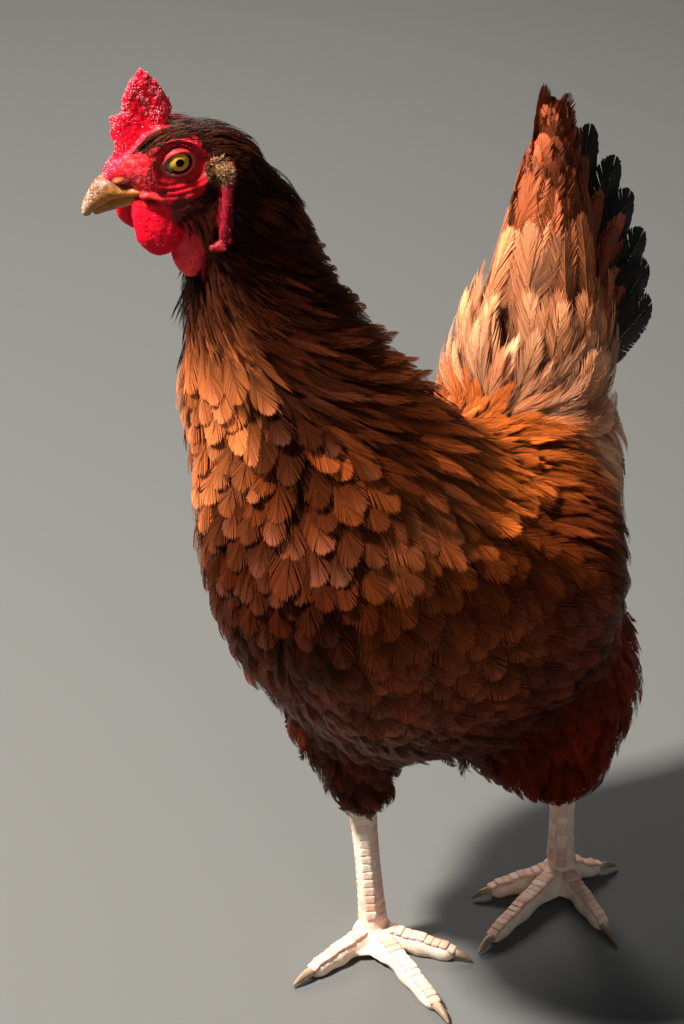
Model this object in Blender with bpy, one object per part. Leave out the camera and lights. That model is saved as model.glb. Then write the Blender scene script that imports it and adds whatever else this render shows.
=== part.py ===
"""A brown hen in natural size, standing in mid stride with its head turned to its right.

The bird faces -Y, its left side is +X and up is +Z. Shapes are worked out in millimetres and made in
metres. The origin is on the floor, under the middle of the bird's box. Every outline is that of the
coat, out to the tips of the feathers.
"""

import math
from dataclasses import dataclass

import bmesh
import bpy
import numpy as np
from mathutils import Vector

MM = 0.001
GAP = 0.35  # between neighbours that touch

# Trunk, along Y: front of the breast to the fluff under the tail.
BREAST_Y = -108.0
RUMP_Y = 137.0
BODY_HALF_WIDTH = 74.0
BACK_Z = 236.0
BELLY_Z = 91.0

# Wings, folded: where they lie on the trunk's side, and how far they stand out from it.
WING_FRONT = -60.0
WING_BACK = 92.0
WING_TOP_ANGLE = math.radians(44.0)
WING_LOW_ANGLE = math.radians(-46.0)
WING_BULGE = 5.6
WING_EDGE = 1.7

# Neck: the stretch of its curve that each length takes, with a gap between them.
NECK_UPPER = (0.0, 0.3)
NECK_MIDDLE = (0.302, 0.52)
NECK_CAPE = (0.522, 1.0)

# Head: its middle lies between the eyes.
HEAD_MIDDLE = (-50.5, -86.5, 378.0)
HEAD_TURN = math.radians(45.0)  # to the bird's right
HEAD_DIP = math.radians(10.0)
HEAD_HALF_WIDTH = 14.4
EYE_RADIUS = 7.0
EYE_DEPTH = 7.4  # from the head's middle plane to the eyeball's middle
COMB_THICKNESS = 4.4
EARLOBE_FLARE = 1.22  # how much further out the right lobe hangs, pushed by the leaning neck
BEAK_HALF_WIDTH = 6.3

# Legs: where each foot stands, its hock, and the height and half width of the thigh's feathers
# where they end.
LEGS = {
    "right": {"foot": (-14.0, -7.0), "hock": (-21.0, -9.0, 90.0), "hem": 69.0, "fluff": 13.0, "side": -1},
    "left": {"foot": (30.0, 76.0), "hock": (33.0, 70.0, 90.0), "hem": 59.0, "fluff": 26.0, "side": 1},
}
SHANK_RADIUS = 4.9
FOOT_RADIUS = 9.5
FOOT_HEIGHT = 15.0
TOE_RADIUS = 4.3
CLAW_LENGTH = 11.0

# Toes: where each points, in degrees from straight ahead towards the bird's left, and its length.
TOES = {
    "right": {"outer": (-14.0, 37.0), "middle": (60.0, 56.0), "inner": (104.0, 36.0), "hind": (214.0, 20.0)},
    "left": {"outer": (56.0, 42.0), "middle": (-2.0, 57.0), "inner": (-38.0, 34.0), "hind": (146.0, 20.0)},
}

# Tail: two sides of a fan that stand on a steep base.
FAN_ROOT = (0.0, 95.0, 222.0)
FAN_LOW = math.radians(16.0)
FAN_HIGH = math.radians(84.0)
FAN_LENGTHS = (60.0, 128.0)
FAN_FEATHERS = 7
FAN_THICKNESS = 3.0
FAN_HALF_SPREAD = 21.0

COLOURS = {
    "plumage": ((0.20, 0.055, 0.022), 0.55),
    "dark_plumage": ((0.03, 0.035, 0.03), 0.45),
    "red_skin": ((0.62, 0.02, 0.03), 0.5),
    "beak_horn": ((0.55, 0.33, 0.14), 0.35),
    "leg_scale": ((0.66, 0.42, 0.27), 0.5),
    "claw_horn": ((0.16, 0.11, 0.09), 0.4),
    "eyeball": ((0.62, 0.34, 0.03), 0.1),
}


def smooth_rows(rows, at):
    """Reads a smooth curve through rows of numbers at the fractions of its length in at."""
    rows = np.asarray(rows, float)
    steps = np.linalg.norm(np.diff(rows[:, :3], axis=0), axis=1)
    knots = np.concatenate([[0.0], np.cumsum(steps)])
    slopes = np.gradient(rows, knots, axis=0)
    where = np.asarray(at, float) * knots[-1]
    low = np.clip(np.searchsorted(knots, where, side="right") - 1, 0, len(knots) - 2)
    width = knots[low + 1] - knots[low]
    t = ((where - knots[low]) / width)[:, None]
    width = width[:, None]
    return (
        (2 * t**3 - 3 * t**2 + 1) * rows[low]
        + (t**3 - 2 * t**2 + t) * width * slopes[low]
        + (3 * t**2 - 2 * t**3) * rows[low + 1]
        + (t**3 - t**2) * width * slopes[low + 1]
    )


@dataclass
class Loft:
    """A closed body of rounded sections along a curve.

    Each row is x, y, z, half width, height above and depth below the curve. across is the direction of
    the half widths. caps are the lengths over which the two ends round off, and 0 leaves an end flat.
    fullness shapes the upper half and keel the lower: 2 is an ellipse, more is squarer.
    """

    rows: tuple
    rings: int = 12
    sides: int = 14
    caps: tuple = (10.0, 10.0)
    across: tuple = (1.0, 0.0, 0.0)
    fullness: float = 2.0
    keel: float = 2.0
    span: tuple = (0.0, 1.0)
    on_floor: bool = False

    def stations(self):
        """Returns each ring's place along the curve, closer together where the ends are round."""
        even = np.linspace(0.0, 1.0, self.rings)
        crowded = (1 - np.cos(np.pi * even)) / 2
        mixed = even if min(self.caps) == 0 else 0.6 * crowded + 0.4 * even
        return self.span[0] + (self.span[1] - self.span[0]) * mixed

    def roundness(self, places, length):
        """Returns how full each ring is, from 0 at the tip of a round end to 1."""
        full = np.ones(len(places))
        for cap, run in ((self.caps[0], places - self.span[0]), (self.caps[1], self.span[1] - places)):
            if cap > 0:
                near = np.clip(run * length / cap, 0.0, 1.0)
                full *= np.sqrt(1 - (1 - near) ** 2)
        return full

    def sections(self, grow=0.0):
        """Returns the rings' points as an array of rings x sides x 3, each ring grown outwards."""
        places = self.stations()
        rows = smooth_rows(self.rows, places)
        before = smooth_rows(self.rows, np.clip(places - 0.01, 0, 1))[:, :3]
        after = smooth_rows(self.rows, np.clip(places + 0.01, 0, 1))[:, :3]
        along = after - before
        along /= np.linalg.norm(along, axis=1)[:, None]
        right = np.asarray(self.across, float) - along * (along @ np.asarray(self.across, float))[:, None]
        right /= np.linalg.norm(right, axis=1)[:, None]
        above = np.cross(right, along)
        above *= np.where(above[:, 2:3].sum() < 0, -1, 1)
        total = np.linalg.norm(np.diff(np.asarray(self.rows)[:, :3], axis=0), axis=1).sum()
        full = self.roundness(places, total)
        angles = np.linspace(0, 2 * np.pi, self.sides, endpoint=False)
        power = 2.0 / np.where(np.sin(angles) > 0, self.fullness, self.keel)
        swing = np.sign(np.cos(angles)) * np.abs(np.cos(angles)) ** power
        rise = np.sign(np.sin(angles)) * np.abs(np.sin(angles)) ** power
        half = rows[:, 3] * full + grow
        height = np.where(rise[None, :] > 0, rows[:, 4:5], rows[:, 5:6]) * full[:, None] + grow
        centre = rows[:, :3].copy()
        centre[0] -= along[0] * grow
        centre[-1] += along[-1] * grow
        points = (
            centre[:, None, :]
            + right[:, None, :] * (half[:, None] * swing[None, :])[:, :, None]
            + above[:, None, :] * (height * rise[None, :])[:, :, None]
        )
        return points, centre

    def mesh(self, name, grow=0.0):
        """Returns the body as a mesh in metres."""
        points, centre = self.sections(grow)
        round_start = self.caps[0] > 0
        round_end = self.caps[1] > 0
        rings = points[(1 if round_start else 0) : (len(points) - 1 if round_end else len(points))]
        made = bmesh.new()
        rows = [[made.verts.new(p) for p in ring] for ring in rings]
        for near, far in zip(rows, rows[1:]):
            for k in range(self.sides):
                after = (k + 1) % self.sides
                made.faces.new((near[k], near[after], far[after], far[k]))
        for ring, tip in ((rows[0], centre[0]), (rows[-1], centre[-1])):
            pole = made.verts.new(tip)
            for k in range(self.sides):
                made.faces.new((pole, ring[k], ring[(k + 1) % self.sides]))
        if self.on_floor:
            for vert in made.verts:
                vert.co.z = max(vert.co.z, -grow)
        return finished_mesh(made, name)


def finished_mesh(made, name):
    """Turns a bmesh in millimetres into a mesh in metres, with its faces pointing out."""
    bmesh.ops.recalc_face_normals(made, faces=made.faces[:])
    bmesh.ops.triangulate(made, faces=made.faces[:])
    bmesh.ops.scale(made, vec=(MM, MM, MM), verts=made.verts[:])
    mesh = bpy.data.meshes.new(name)
    made.to_mesh(mesh)
    made.free()
    return mesh


def sheet_mesh(name, outer, inner):
    """Returns a closed body between two grids of points, rows x columns x 3, joined round their rim."""
    made = bmesh.new()
    sheets = [[[made.verts.new(p) for p in row] for row in grid] for grid in (outer, inner)]
    rows, columns = len(outer), len(outer[0])
    for sheet in sheets:
        for i in range(rows - 1):
            for j in range(columns - 1):
                made.faces.new((sheet[i][j], sheet[i][j + 1], sheet[i + 1][j + 1], sheet[i + 1][j]))
    rim = [(0, j) for j in range(columns)] + [(i, columns - 1) for i in range(1, rows)]
    rim += [(rows - 1, j) for j in range(columns - 2, -1, -1)] + [(i, 0) for i in range(rows - 2, 0, -1)]
    for here, there in zip(rim, rim[1:] + rim[:1]):
        (a, b), (c, d) = here, there
        made.faces.new((sheets[0][a][b], sheets[0][c][d], sheets[1][c][d], sheets[1][a][b]))
    return finished_mesh(made, name)


def material(name):
    """Returns the named finish, made once."""
    if name in bpy.data.materials:
        return bpy.data.materials[name]
    colour, roughness = COLOURS[name]
    made = bpy.data.materials.new(name)
    made.use_nodes = True
    shader = made.node_tree.nodes["Principled BSDF"]
    shader.inputs["Base Color"].default_value = (*colour, 1.0)
    shader.inputs["Roughness"].default_value = roughness
    shader.inputs["Metallic"].default_value = 0.0
    return made


def add(name, mesh, finish=None):
    """Puts a mesh in the scene as a named object."""
    made = bpy.data.objects.new(name, mesh)
    bpy.context.scene.collection.objects.link(made)
    mesh.shade_smooth()
    if finish:
        mesh.materials.append(material(finish))
    return made


def carve(target, *meshes):
    """Cuts the shapes of grown neighbours out of a node."""
    for mesh in meshes:
        cutter = add("cutter", mesh)
        cutter.hide_render = True
        cutter.display_type = "WIRE"
        cut = target.modifiers.new("cut", "BOOLEAN")
        cut.operation = "DIFFERENCE"
        cut.solver = "EXACT"
        cut.object = cutter
        evaluated = target.evaluated_get(bpy.context.evaluated_depsgraph_get())
        target.data = bpy.data.meshes.new_from_object(evaluated)
        target.modifiers.clear()
        bpy.data.objects.remove(cutter)


def in_head(forward, left, up):
    """Turns a place in the head's own frame, measured from its middle, into one of the bird's."""
    ahead, side, crown = head_axes()
    return tuple(np.asarray(HEAD_MIDDLE) + forward * ahead + left * side + up * crown)


def head_axes():
    """Returns the head's forward, left and up directions."""
    level = np.array([-math.sin(HEAD_TURN), -math.cos(HEAD_TURN), 0.0])
    up = np.array([0.0, 0.0, 1.0])
    side = np.cross(up, level)
    ahead = level * math.cos(HEAD_DIP) - up * math.sin(HEAD_DIP)
    return ahead, side, np.cross(ahead, side)


def head_rows(rows):
    """Turns rows given in the head's frame into rows in the bird's frame."""
    return tuple((*in_head(*row[:3]), *row[3:]) for row in rows)


def trunk_shape():
    """The body from breast to rump, feathers included."""
    rows = (
        (0, BREAST_Y, 219, 38, 22, 28),
        (0, -92, 216, 43, 29, 36),
        (0, -70, 209, 49, 36, 52),
        (0, -45, 200, 57, 42, 66),
        (0, -15, 192, BODY_HALF_WIDTH - 8, BACK_Z + 2 - 192, 84),
        (0, 20, 188, BODY_HALF_WIDTH, BACK_Z - 188, 189 - BELLY_Z),
        (0, 55, 186, BODY_HALF_WIDTH - 12, BACK_Z - 2 - 186, 190 - BELLY_Z),
        (0, 85, 188, 44, 46, 88),
        (0, 112, 194, 32, 40, 68),
        (0, RUMP_Y, 200, 24, 34, 50),
    )
    return Loft(rows, rings=19, sides=22, caps=(20, 24), fullness=2.15, keel=1.85)


def neck_shape(span, caps=(0, 0), rings=7):
    """A length of the neck with its hackle, from the head (0) to the body (1)."""
    rows = (
        (*in_head(-12, 0, -9), 16, 19, 15),
        (-37, -70, 345, 23, 29, 22),
        (-32, -65, 318, 32, 37, 33),
        (-26, -58, 292, 40, 34, 39),
        (-17, -50, 262, 50, 42, 49),
        (-7, -41, 228, 55, 60, 58),
        (-2, -33, 196, 52, 62, 50),
    )
    return Loft(rows, rings=rings, sides=20, caps=caps, span=span)


def head_shape():
    """The skull and face, without comb, beak and lobes."""
    rows = (
        (27, 0, -8, 5.5, 5.5, 5.5),
        (20, 0, -6, 9.0, 8.5, 11),
        (10, 0, -4, 12.8, 13, 15),
        (0, 0, -3, HEAD_HALF_WIDTH, 13.2, 19),
        (-12, 0, -5, 16.5, 12.5, 21),
        (-29, 0, -17, 17.5, 15, 14),
    )
    return Loft(head_rows(rows), rings=13, sides=16, caps=(5, 12), across=tuple(head_axes()[1]))


def beak_shapes():
    """The upper and the lower beak."""
    side = tuple(head_axes()[1])
    upper = (
        (19, 0, -7.0, BEAK_HALF_WIDTH + 0.6, 5.2, 4.4),
        (26, 0, -8.4, BEAK_HALF_WIDTH - 0.4, 5.4, 3.4),
        (31, 0, -10.8, 4.3, 4.4, 2.8),
        (34.5, 0, -14.0, 2.4, 2.9, 1.9),
        (36.2, 0, -17.8, 0.9, 1.1, 0.9),
    )
    lower = (
        (14, 0, -14.0, 6.0, 4.0, 3.0),
        (22, 0, -14.8, 5.0, 4.0, 2.9),
        (28, 0, -15.4, 3.4, 3.0, 2.3),
        (32.5, 0, -16.6, 1.6, 1.6, 1.3),
    )
    return (
        Loft(head_rows(upper), rings=10, sides=12, caps=(3, 1.5), across=side),
        Loft(head_rows(lower), rings=8, sides=10, caps=(3, 2.0), across=side),
    )


def comb_mesh(name):
    """A single comb: a small front point, then one tall lobe that leans back."""
    outline = (
        (26.0, -2.0),
        (23.8, 6.5),
        (21.2, 11.5),
        (20.2, 17.6),
        (16.4, 16.8),
        (13.6, 22.0),
        (11.8, 29.2),
        (8.6, 29.6),
        (6.2, 33.2),
        (3.0, 29.0),
        (0.6, 24.6),
        (-2.4, 18.0),
        (-1.0, 12.0),
        (2.0, 6.0),
        (14.0, -2.0),
    )
    middle = np.mean(outline, axis=0)
    made = bmesh.new()
    rings = []
    for side, inset in ((-0.22, 0.0), (-0.5, 0.28), (0.5, 0.28), (0.22, 0.0)):
        ring = []
        for point in outline:
            forward, up = np.asarray(point) + (middle - point) * inset
            ring.append(made.verts.new(in_head(forward, side * COMB_THICKNESS, up)))
        rings.append(ring)
    for near, far in zip(rings, rings[1:] + rings[:1]):
        for k in range(len(outline)):
            after = (k + 1) % len(outline)
            if near is rings[1]:
                continue
            made.faces.new((near[k], near[after], far[after], far[k]))
    made.faces.new(rings[1])
    made.faces.new(rings[2])
    return finished_mesh(made, name)


def lobe_shapes(side):
    """The wattle and the earlobe on one side, +1 for the left."""
    ahead = tuple(head_axes()[0])
    flare = side if side > 0 else side * EARLOBE_FLARE
    wattle = (
        (14.0, side * 5.0, -11, 5.0, 2.0, 2.0),
        (14.0, side * 6.8, -19, 7.6, 2.5, 2.5),
        (12.8, side * 7.8, -28, 9.2, 2.5, 2.5),
        (13.6, side * 7.6, -36, 5.5, 1.8, 1.8),
    )
    earlobe = (
        (-17.5, flare * 16.0, -10, 3.4, 2.8, 2.8),
        (-15.0, flare * 19.0, -18, 4.2, 3.0, 3.0),
        (-11.5, flare * 20.8, -27, 4.8, 3.0, 3.0),
        (-8.2, flare * 21.5, -36, 4.0, 2.4, 2.4),
    )
    return (
        Loft(head_rows(wattle), rings=8, sides=12, caps=(3, 6), across=ahead),
        Loft(head_rows(earlobe), rings=7, sides=10, caps=(4, 5), across=ahead),
    )


def dewlap_shape():
    """The fold of bare skin under the throat."""
    rows = (
        (6.0, 4.0, -20, 8.0, 4.0, 4.0),
        (4.5, 8.5, -31, 8.4, 4.2, 4.2),
        (2.8, 11.0, -41, 7.4, 3.8, 3.8),
        (2.4, 11.5, -49, 4.6, 2.6, 2.6),
    )
    return Loft(head_rows(rows), rings=8, sides=12, caps=(4, 7), across=tuple(head_axes()[0]))


def eye_mesh(name, side, grow=0.0):
    """An eyeball, +1 for the left."""
    made = bmesh.new()
    bmesh.ops.create_uvsphere(made, u_segments=12, v_segments=8, radius=EYE_RADIUS + grow)
    middle = Vector(in_head(0, side * EYE_DEPTH, 0))
    bmesh.ops.translate(made, vec=middle, verts=made.verts[:])
    return finished_mesh(made, name)


def wing_mesh(name, side, grow=0.0):
    """A folded wing: a shell on the flank that bulges behind the shoulder and thins to its tip."""
    trunk = smooth_rows(trunk_shape().rows, np.linspace(0, 1, 61))
    outer, inner = [], []
    for s in np.linspace(0.0, 1.0, 13):
        y = WING_FRONT - grow + (WING_BACK - WING_FRONT + 2 * grow) * s
        x, _, z, half, above, below = (np.interp(y, trunk[:, 1], trunk[:, c]) for c in range(6))
        upper = WING_TOP_ANGLE - math.radians(16.0) * s
        lower = WING_LOW_ANGLE + math.radians(38.0) * s**1.6
        nose = math.sin(math.pi * min(0.5, 0.12 + s * 1.7))
        taper = 1 - 0.55 * max(0.0, s - 0.6) / 0.4
        spread = (upper - lower) / 2 * nose * taper + grow / half
        bulge = WING_BULGE * (1 - 0.75 * max(0.0, s - 0.45) / 0.55) * min(1.0, 0.1 + s * 2.4)
        for grid, base, swell in ((outer, WING_EDGE + grow, bulge), (inner, -6.0, 0.0)):
            line = []
            for t in np.linspace(0.0, 1.0, 8):
                angle = (upper + lower) / 2 + spread * (1 - 2 * t)
                height = above if angle > 0 else below
                radial = np.array([half * math.cos(angle), height * math.sin(angle)])
                lift = base + swell * math.sin(math.pi * t) ** 0.7
                spot = radial * (1 + lift / np.linalg.norm(radial))
                line.append((side * (x + spot[0]), y, z + spot[1]))
            grid.append(line)
    return sheet_mesh(name, outer, inner)


def tail_base_shape():
    """The soft feathers that cover the root of the tail."""
    rows = (
        (0, 72, 200, 43, 32, 40),
        (0, 88, 235, 38, 36, 33),
        (-1, 103, 270, 27, 32, 28),
        (-4, 109, 305, 16, 22, 19),
        (-6, 111, 334, 8, 10, 9),
    )
    return Loft(rows, rings=10, sides=16, caps=(12, 12))


def fan_mesh(name, side):
    """One side of the tail's fan, with a tip for each of its feathers."""
    columns = FAN_FEATHERS * 3 + 1
    reach = (0.12, 0.45, 0.75, 0.92, 1.0)
    outer, inner = [], []
    for row, part in enumerate(reach):
        for grid, face in ((outer, 1), (inner, 0)):
            line = []
            for k in range(columns):
                sweep = k / (columns - 1)
                angle = FAN_LOW + (FAN_HIGH - FAN_LOW) * sweep
                length = FAN_LENGTHS[0] + (FAN_LENGTHS[1] - FAN_LENGTHS[0]) * sweep
                tip = abs(math.sin(math.pi * FAN_FEATHERS * sweep))
                run = length * (part - (0.10 * (1 - tip) if row == len(reach) - 1 else 0.0))
                spread = FAN_HALF_SPREAD * (1 - sweep) ** 0.8 * (0.5 + 0.5 * part) + 0.6
                lean = -9.0 * part * sweep
                thick = FAN_THICKNESS * (1 - 0.55 * part) * face
                x = FAN_ROOT[0] + lean + side * (spread + thick)
                grid_point = (x, FAN_ROOT[1] + run * math.cos(angle), FAN_ROOT[2] + run * math.sin(angle))
                line.append(grid_point)
            grid.append(line)
    return sheet_mesh(name, outer, inner)


def thigh_shape(leg):
    """The feathered thigh, down to the hem over the hock."""
    hock, side, hem, fluff = leg["hock"], leg["side"], leg["hem"], leg["fluff"]
    ahead = fluff / 4
    rows = (
        (side * 33, hock[1] * 0.6 + 6, 155, 27, 34, 34),
        (side * 22 + hock[0] * 0.3, hock[1] - 1, 122, 26, 31, 30),
        (hock[0] - side * 2, hock[1] - ahead, 96, 14 + fluff / 2, 15 + fluff / 2, 22),
        (hock[0] - side * (2 * ahead - 3), hock[1] - ahead * 1.3, hem, fluff, fluff + 1, fluff),
    )
    return Loft(rows, rings=9, sides=16, caps=(14, 5 + fluff / 2))


def shank_shape(leg):
    """The bare scaled leg from the foot to the hock."""
    foot, hock = leg["foot"], leg["hock"]
    rows = (
        (*foot, 6, SHANK_RADIUS + 0.9, SHANK_RADIUS + 1.4, SHANK_RADIUS + 1.4),
        (foot[0] * 0.85 + hock[0] * 0.15, foot[1] * 0.85 + hock[1] * 0.15, 20, SHANK_RADIUS, 5.6, 5.6),
        (foot[0] * 0.5 + hock[0] * 0.5, foot[1] * 0.5 + hock[1] * 0.5, 48, SHANK_RADIUS - 0.4, 5.2, 5.2),
        (*hock, SHANK_RADIUS + 1.2, 7.0, 7.0),
    )
    return Loft(rows, rings=7, sides=10, caps=(4, 6))


def foot_shape(leg):
    """The ball of the foot, flat underneath."""
    x, y = leg["foot"]
    rows = (
        (x, y, 0, FOOT_RADIUS - 0.6, FOOT_RADIUS - 0.6, FOOT_RADIUS - 0.6),
        (x, y, 6, FOOT_RADIUS, FOOT_RADIUS, FOOT_RADIUS),
        (x, y, FOOT_HEIGHT, 7, 7, 7),
    )
    return Loft(rows, rings=6, sides=12, caps=(0, 9))


def toe_path(leg, toe):
    """Returns a toe's root, its direction and its length."""
    angle, length = TOES[leg][toe]
    turn = math.radians(angle)
    return np.array([*LEGS[leg]["foot"], 0.0]), np.array([math.sin(turn), -math.cos(turn), 0.0]), length


def toe_shape(leg, toe):
    """A toe from the ball of the foot to the root of its claw, flat underneath."""
    root, ahead, length = toe_path(leg, toe)
    up = np.array([0.0, 0.0, 1.0])
    lift = 3.0 if toe == "hind" else 0.0
    slim = 0.8 if toe == "hind" else 1.0
    marks = ((0.08, 6.6 + lift, 1.0), (0.3, 5.6 + lift, 1.0), (0.62, 4.2, 0.86), (1.0, 3.0, 0.66))
    rows = []
    for part, height, girth in marks:
        radius = TOE_RADIUS * girth * slim
        rows.append((*(root + ahead * length * part + up * height), radius, radius, radius + 1.5))
    across = tuple(np.cross(up, ahead))
    return Loft(tuple(rows), rings=7, sides=8, caps=(2, 3.5), across=across, on_floor=True)


def claw_shape(leg, toe):
    """A claw that curves down to the floor."""
    root, ahead, length = toe_path(leg, toe)
    up = np.array([0.0, 0.0, 1.0])
    size = 0.8 if toe in ("hind", "inner") else 1.0
    rows = []
    for part, height, girth in ((-0.35, 3.4, 1.9), (0.35, 3.3, 1.8), (0.75, 2.2, 1.2), (1.0, 0.9, 0.5)):
        spot = root + ahead * (length + CLAW_LENGTH * size * part) + up * height
        rows.append((*spot, girth * size, girth * size, girth * size))
    across = tuple(np.cross(up, ahead))
    return Loft(tuple(rows), rings=6, sides=7, caps=(1, 1.2), across=across, on_floor=True)


def build_head():
    """Makes the head and all that grows on it."""
    head = head_shape()
    upper, lower = beak_shapes()
    skull = add("head", head.mesh("head"), "red_skin")
    for side, word in ((1, "left"), (-1, "right")):
        add(f"eye_{word}", eye_mesh(f"eye_{word}", side), "eyeball")
        carve(skull, eye_mesh("socket", side, GAP))
    comb = add("comb", comb_mesh("comb"), "red_skin")
    carve(comb, head.mesh("cutter", GAP), upper.mesh("cutter", GAP))
    beak = add("beak_upper", upper.mesh("beak_upper"), "beak_horn")
    carve(beak, head.mesh("cutter", GAP))
    jaw = add("beak_lower", lower.mesh("beak_lower"), "beak_horn")
    carve(jaw, head.mesh("cutter", GAP), upper.mesh("cutter", GAP))
    neck = neck_shape(NECK_UPPER, caps=(6, 0))
    wattles = []
    for side, word in ((1, "left"), (-1, "right")):
        wattle, earlobe = lobe_shapes(side)
        made = add(f"wattle_{word}", wattle.mesh(f"wattle_{word}"), "red_skin")
        carve(made, head.mesh("cutter", GAP), lower.mesh("cutter", GAP), neck.mesh("cutter", GAP))
        wattles.append(wattle)
        made = add(f"earlobe_{word}", earlobe.mesh(f"earlobe_{word}"), "red_skin")
        carve(made, head.mesh("cutter", GAP), neck.mesh("cutter", GAP))
    dewlap = add("dewlap", dewlap_shape().mesh("dewlap"), "red_skin")
    carve(dewlap, head.mesh("cutter", GAP), neck.mesh("cutter", GAP))
    carve(dewlap, *(wattle.mesh("cutter", GAP) for wattle in wattles))


def build_neck():
    """Makes the neck in three lengths, the lowest spread over the shoulders."""
    head = head_shape()
    lengths = (("neck_upper", NECK_UPPER, (6, 0)), ("neck_middle", NECK_MIDDLE, (0, 0)))
    for name, span, caps in lengths:
        made = add(name, neck_shape(span, caps).mesh(name), "plumage")
        if name == "neck_upper":
            carve(made, head.mesh("cutter", GAP))
    cape = add("neck_cape", neck_shape(NECK_CAPE, (0, 8), 8).mesh("neck_cape"), "plumage")
    carve(cape, trunk_shape().mesh("cutter", GAP))


def build_body():
    """Makes the trunk, the wings and the tail."""
    trunk = trunk_shape()
    base = tail_base_shape()
    add("trunk", trunk.mesh("trunk"), "plumage")
    cape = neck_shape(NECK_CAPE, (0, 8), 8)
    for side, word in ((1, "left"), (-1, "right")):
        wing = add(f"wing_{word}", wing_mesh(f"wing_{word}", side), "plumage")
        carve(wing, trunk.mesh("cutter", GAP), cape.mesh("cutter", GAP), base.mesh("cutter", GAP))
        fan = add(f"tail_fan_{word}", fan_mesh(f"tail_fan_{word}", side), "dark_plumage")
        carve(fan, trunk.mesh("cutter", GAP), base.mesh("cutter", GAP))
    tail = add("tail_base", base.mesh("tail_base"), "plumage")
    carve(tail, trunk.mesh("cutter", GAP))


def build_leg(word):
    """Makes one leg with its toes and claws."""
    leg = LEGS[word]
    trunk, thigh, shank, foot = trunk_shape(), thigh_shape(leg), shank_shape(leg), foot_shape(leg)
    made = add(f"thigh_{word}", thigh.mesh(f"thigh_{word}"), "plumage")
    carve(made, trunk.mesh("cutter", GAP), wing_mesh("cutter", leg["side"], GAP))
    made = add(f"shank_{word}", shank.mesh(f"shank_{word}"), "leg_scale")
    carve(made, thigh.mesh("cutter", GAP), foot.mesh("cutter", GAP))
    add(f"foot_{word}", foot.mesh(f"foot_{word}"), "leg_scale")
    middle = toe_shape(word, "middle")
    for toe in TOES[word]:
        shape = toe_shape(word, toe)
        made = add(f"toe_{word}_{toe}", shape.mesh(f"toe_{word}_{toe}"), "leg_scale")
        carve(made, foot.mesh("cutter", GAP), shank.mesh("cutter", GAP))
        if toe in ("outer", "inner"):
            carve(made, middle.mesh("cutter", GAP))
        claw = add(f"claw_{word}_{toe}", claw_shape(word, toe).mesh(f"claw_{word}_{toe}"), "claw_horn")
        carve(claw, shape.mesh("cutter", GAP))


def settle():
    """Moves everything so that the origin is under the middle of the bird's box."""
    spots = np.array([v.co for o in bpy.data.objects for v in o.data.vertices])
    low, high = spots.min(axis=0), spots.max(axis=0)
    shift = Vector((-(low[0] + high[0]) / 2, -(low[1] + high[1]) / 2, -low[2]))
    for made in bpy.data.objects:
        for vert in made.data.vertices:
            vert.co += shift


def main():
    """Builds the whole bird."""
    for old in list(bpy.data.objects):
        bpy.data.objects.remove(old)
    build_body()
    build_neck()
    build_head()
    for word in LEGS:
        build_leg(word)
    settle()


main()
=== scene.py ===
"""The looks of a laying hen: one skin, its feathers, face, comb, beak, eyes and scaled legs."""

import logging
import math
from dataclasses import dataclass
from enum import Enum
from typing import Callable, Sequence

import bmesh
import bpy
import numpy as np
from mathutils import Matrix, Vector
from mathutils.bvhtree import BVHTree


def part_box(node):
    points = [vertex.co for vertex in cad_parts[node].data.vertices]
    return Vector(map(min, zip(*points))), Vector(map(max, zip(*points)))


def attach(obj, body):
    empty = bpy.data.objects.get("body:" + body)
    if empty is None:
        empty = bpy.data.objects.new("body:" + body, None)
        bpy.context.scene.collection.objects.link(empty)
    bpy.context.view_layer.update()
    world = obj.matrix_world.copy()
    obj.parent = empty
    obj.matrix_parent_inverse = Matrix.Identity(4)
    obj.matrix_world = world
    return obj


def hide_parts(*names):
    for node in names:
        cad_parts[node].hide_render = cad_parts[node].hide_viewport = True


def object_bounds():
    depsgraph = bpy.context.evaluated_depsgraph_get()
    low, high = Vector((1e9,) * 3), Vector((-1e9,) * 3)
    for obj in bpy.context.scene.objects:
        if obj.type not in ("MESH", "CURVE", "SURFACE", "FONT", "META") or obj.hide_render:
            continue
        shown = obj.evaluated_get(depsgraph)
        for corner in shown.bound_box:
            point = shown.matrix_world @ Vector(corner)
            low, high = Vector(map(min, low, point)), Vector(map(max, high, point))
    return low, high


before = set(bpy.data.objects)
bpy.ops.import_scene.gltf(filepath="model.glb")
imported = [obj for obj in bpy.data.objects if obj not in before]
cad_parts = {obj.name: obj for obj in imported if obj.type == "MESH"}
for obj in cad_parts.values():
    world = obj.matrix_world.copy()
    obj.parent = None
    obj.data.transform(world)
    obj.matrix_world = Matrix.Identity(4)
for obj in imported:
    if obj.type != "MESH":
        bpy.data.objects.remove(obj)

LOG = logging.getLogger("hen")
MM = 0.001
SEED = 11
CAD_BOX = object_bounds()
WHOLE = tuple(np.array(corner) / MM for corner in CAD_BOX)  # the same box in millimetres
SIDES = (("left", 1), ("right", -1))
TOES = ("outer", "middle", "inner", "hind")
CORNEA = 3.6  # half width of the eye's raised clear front
PATCH = 0.003  # width of one feather's patch on the coat's UV map
UP = np.array([0.0, 0.0, 1.0])
TAIL_WAY = np.array([0.0, 0.24, 1.0])
EYE_MAP = 10.0  # millimetres of the eye in one unit of its flat map

Array = np.ndarray
Material = bpy.types.Material
Mesh = bpy.types.Mesh
Node = bpy.types.Node
NodeSocket = bpy.types.NodeSocket
NodeTree = bpy.types.NodeTree
Object = bpy.types.Object
Rows = Sequence[tuple[float, ...]]
Triple = tuple[float, float, float]
Colour = Triple


# ---------------------------------------------------------------- measures


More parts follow.
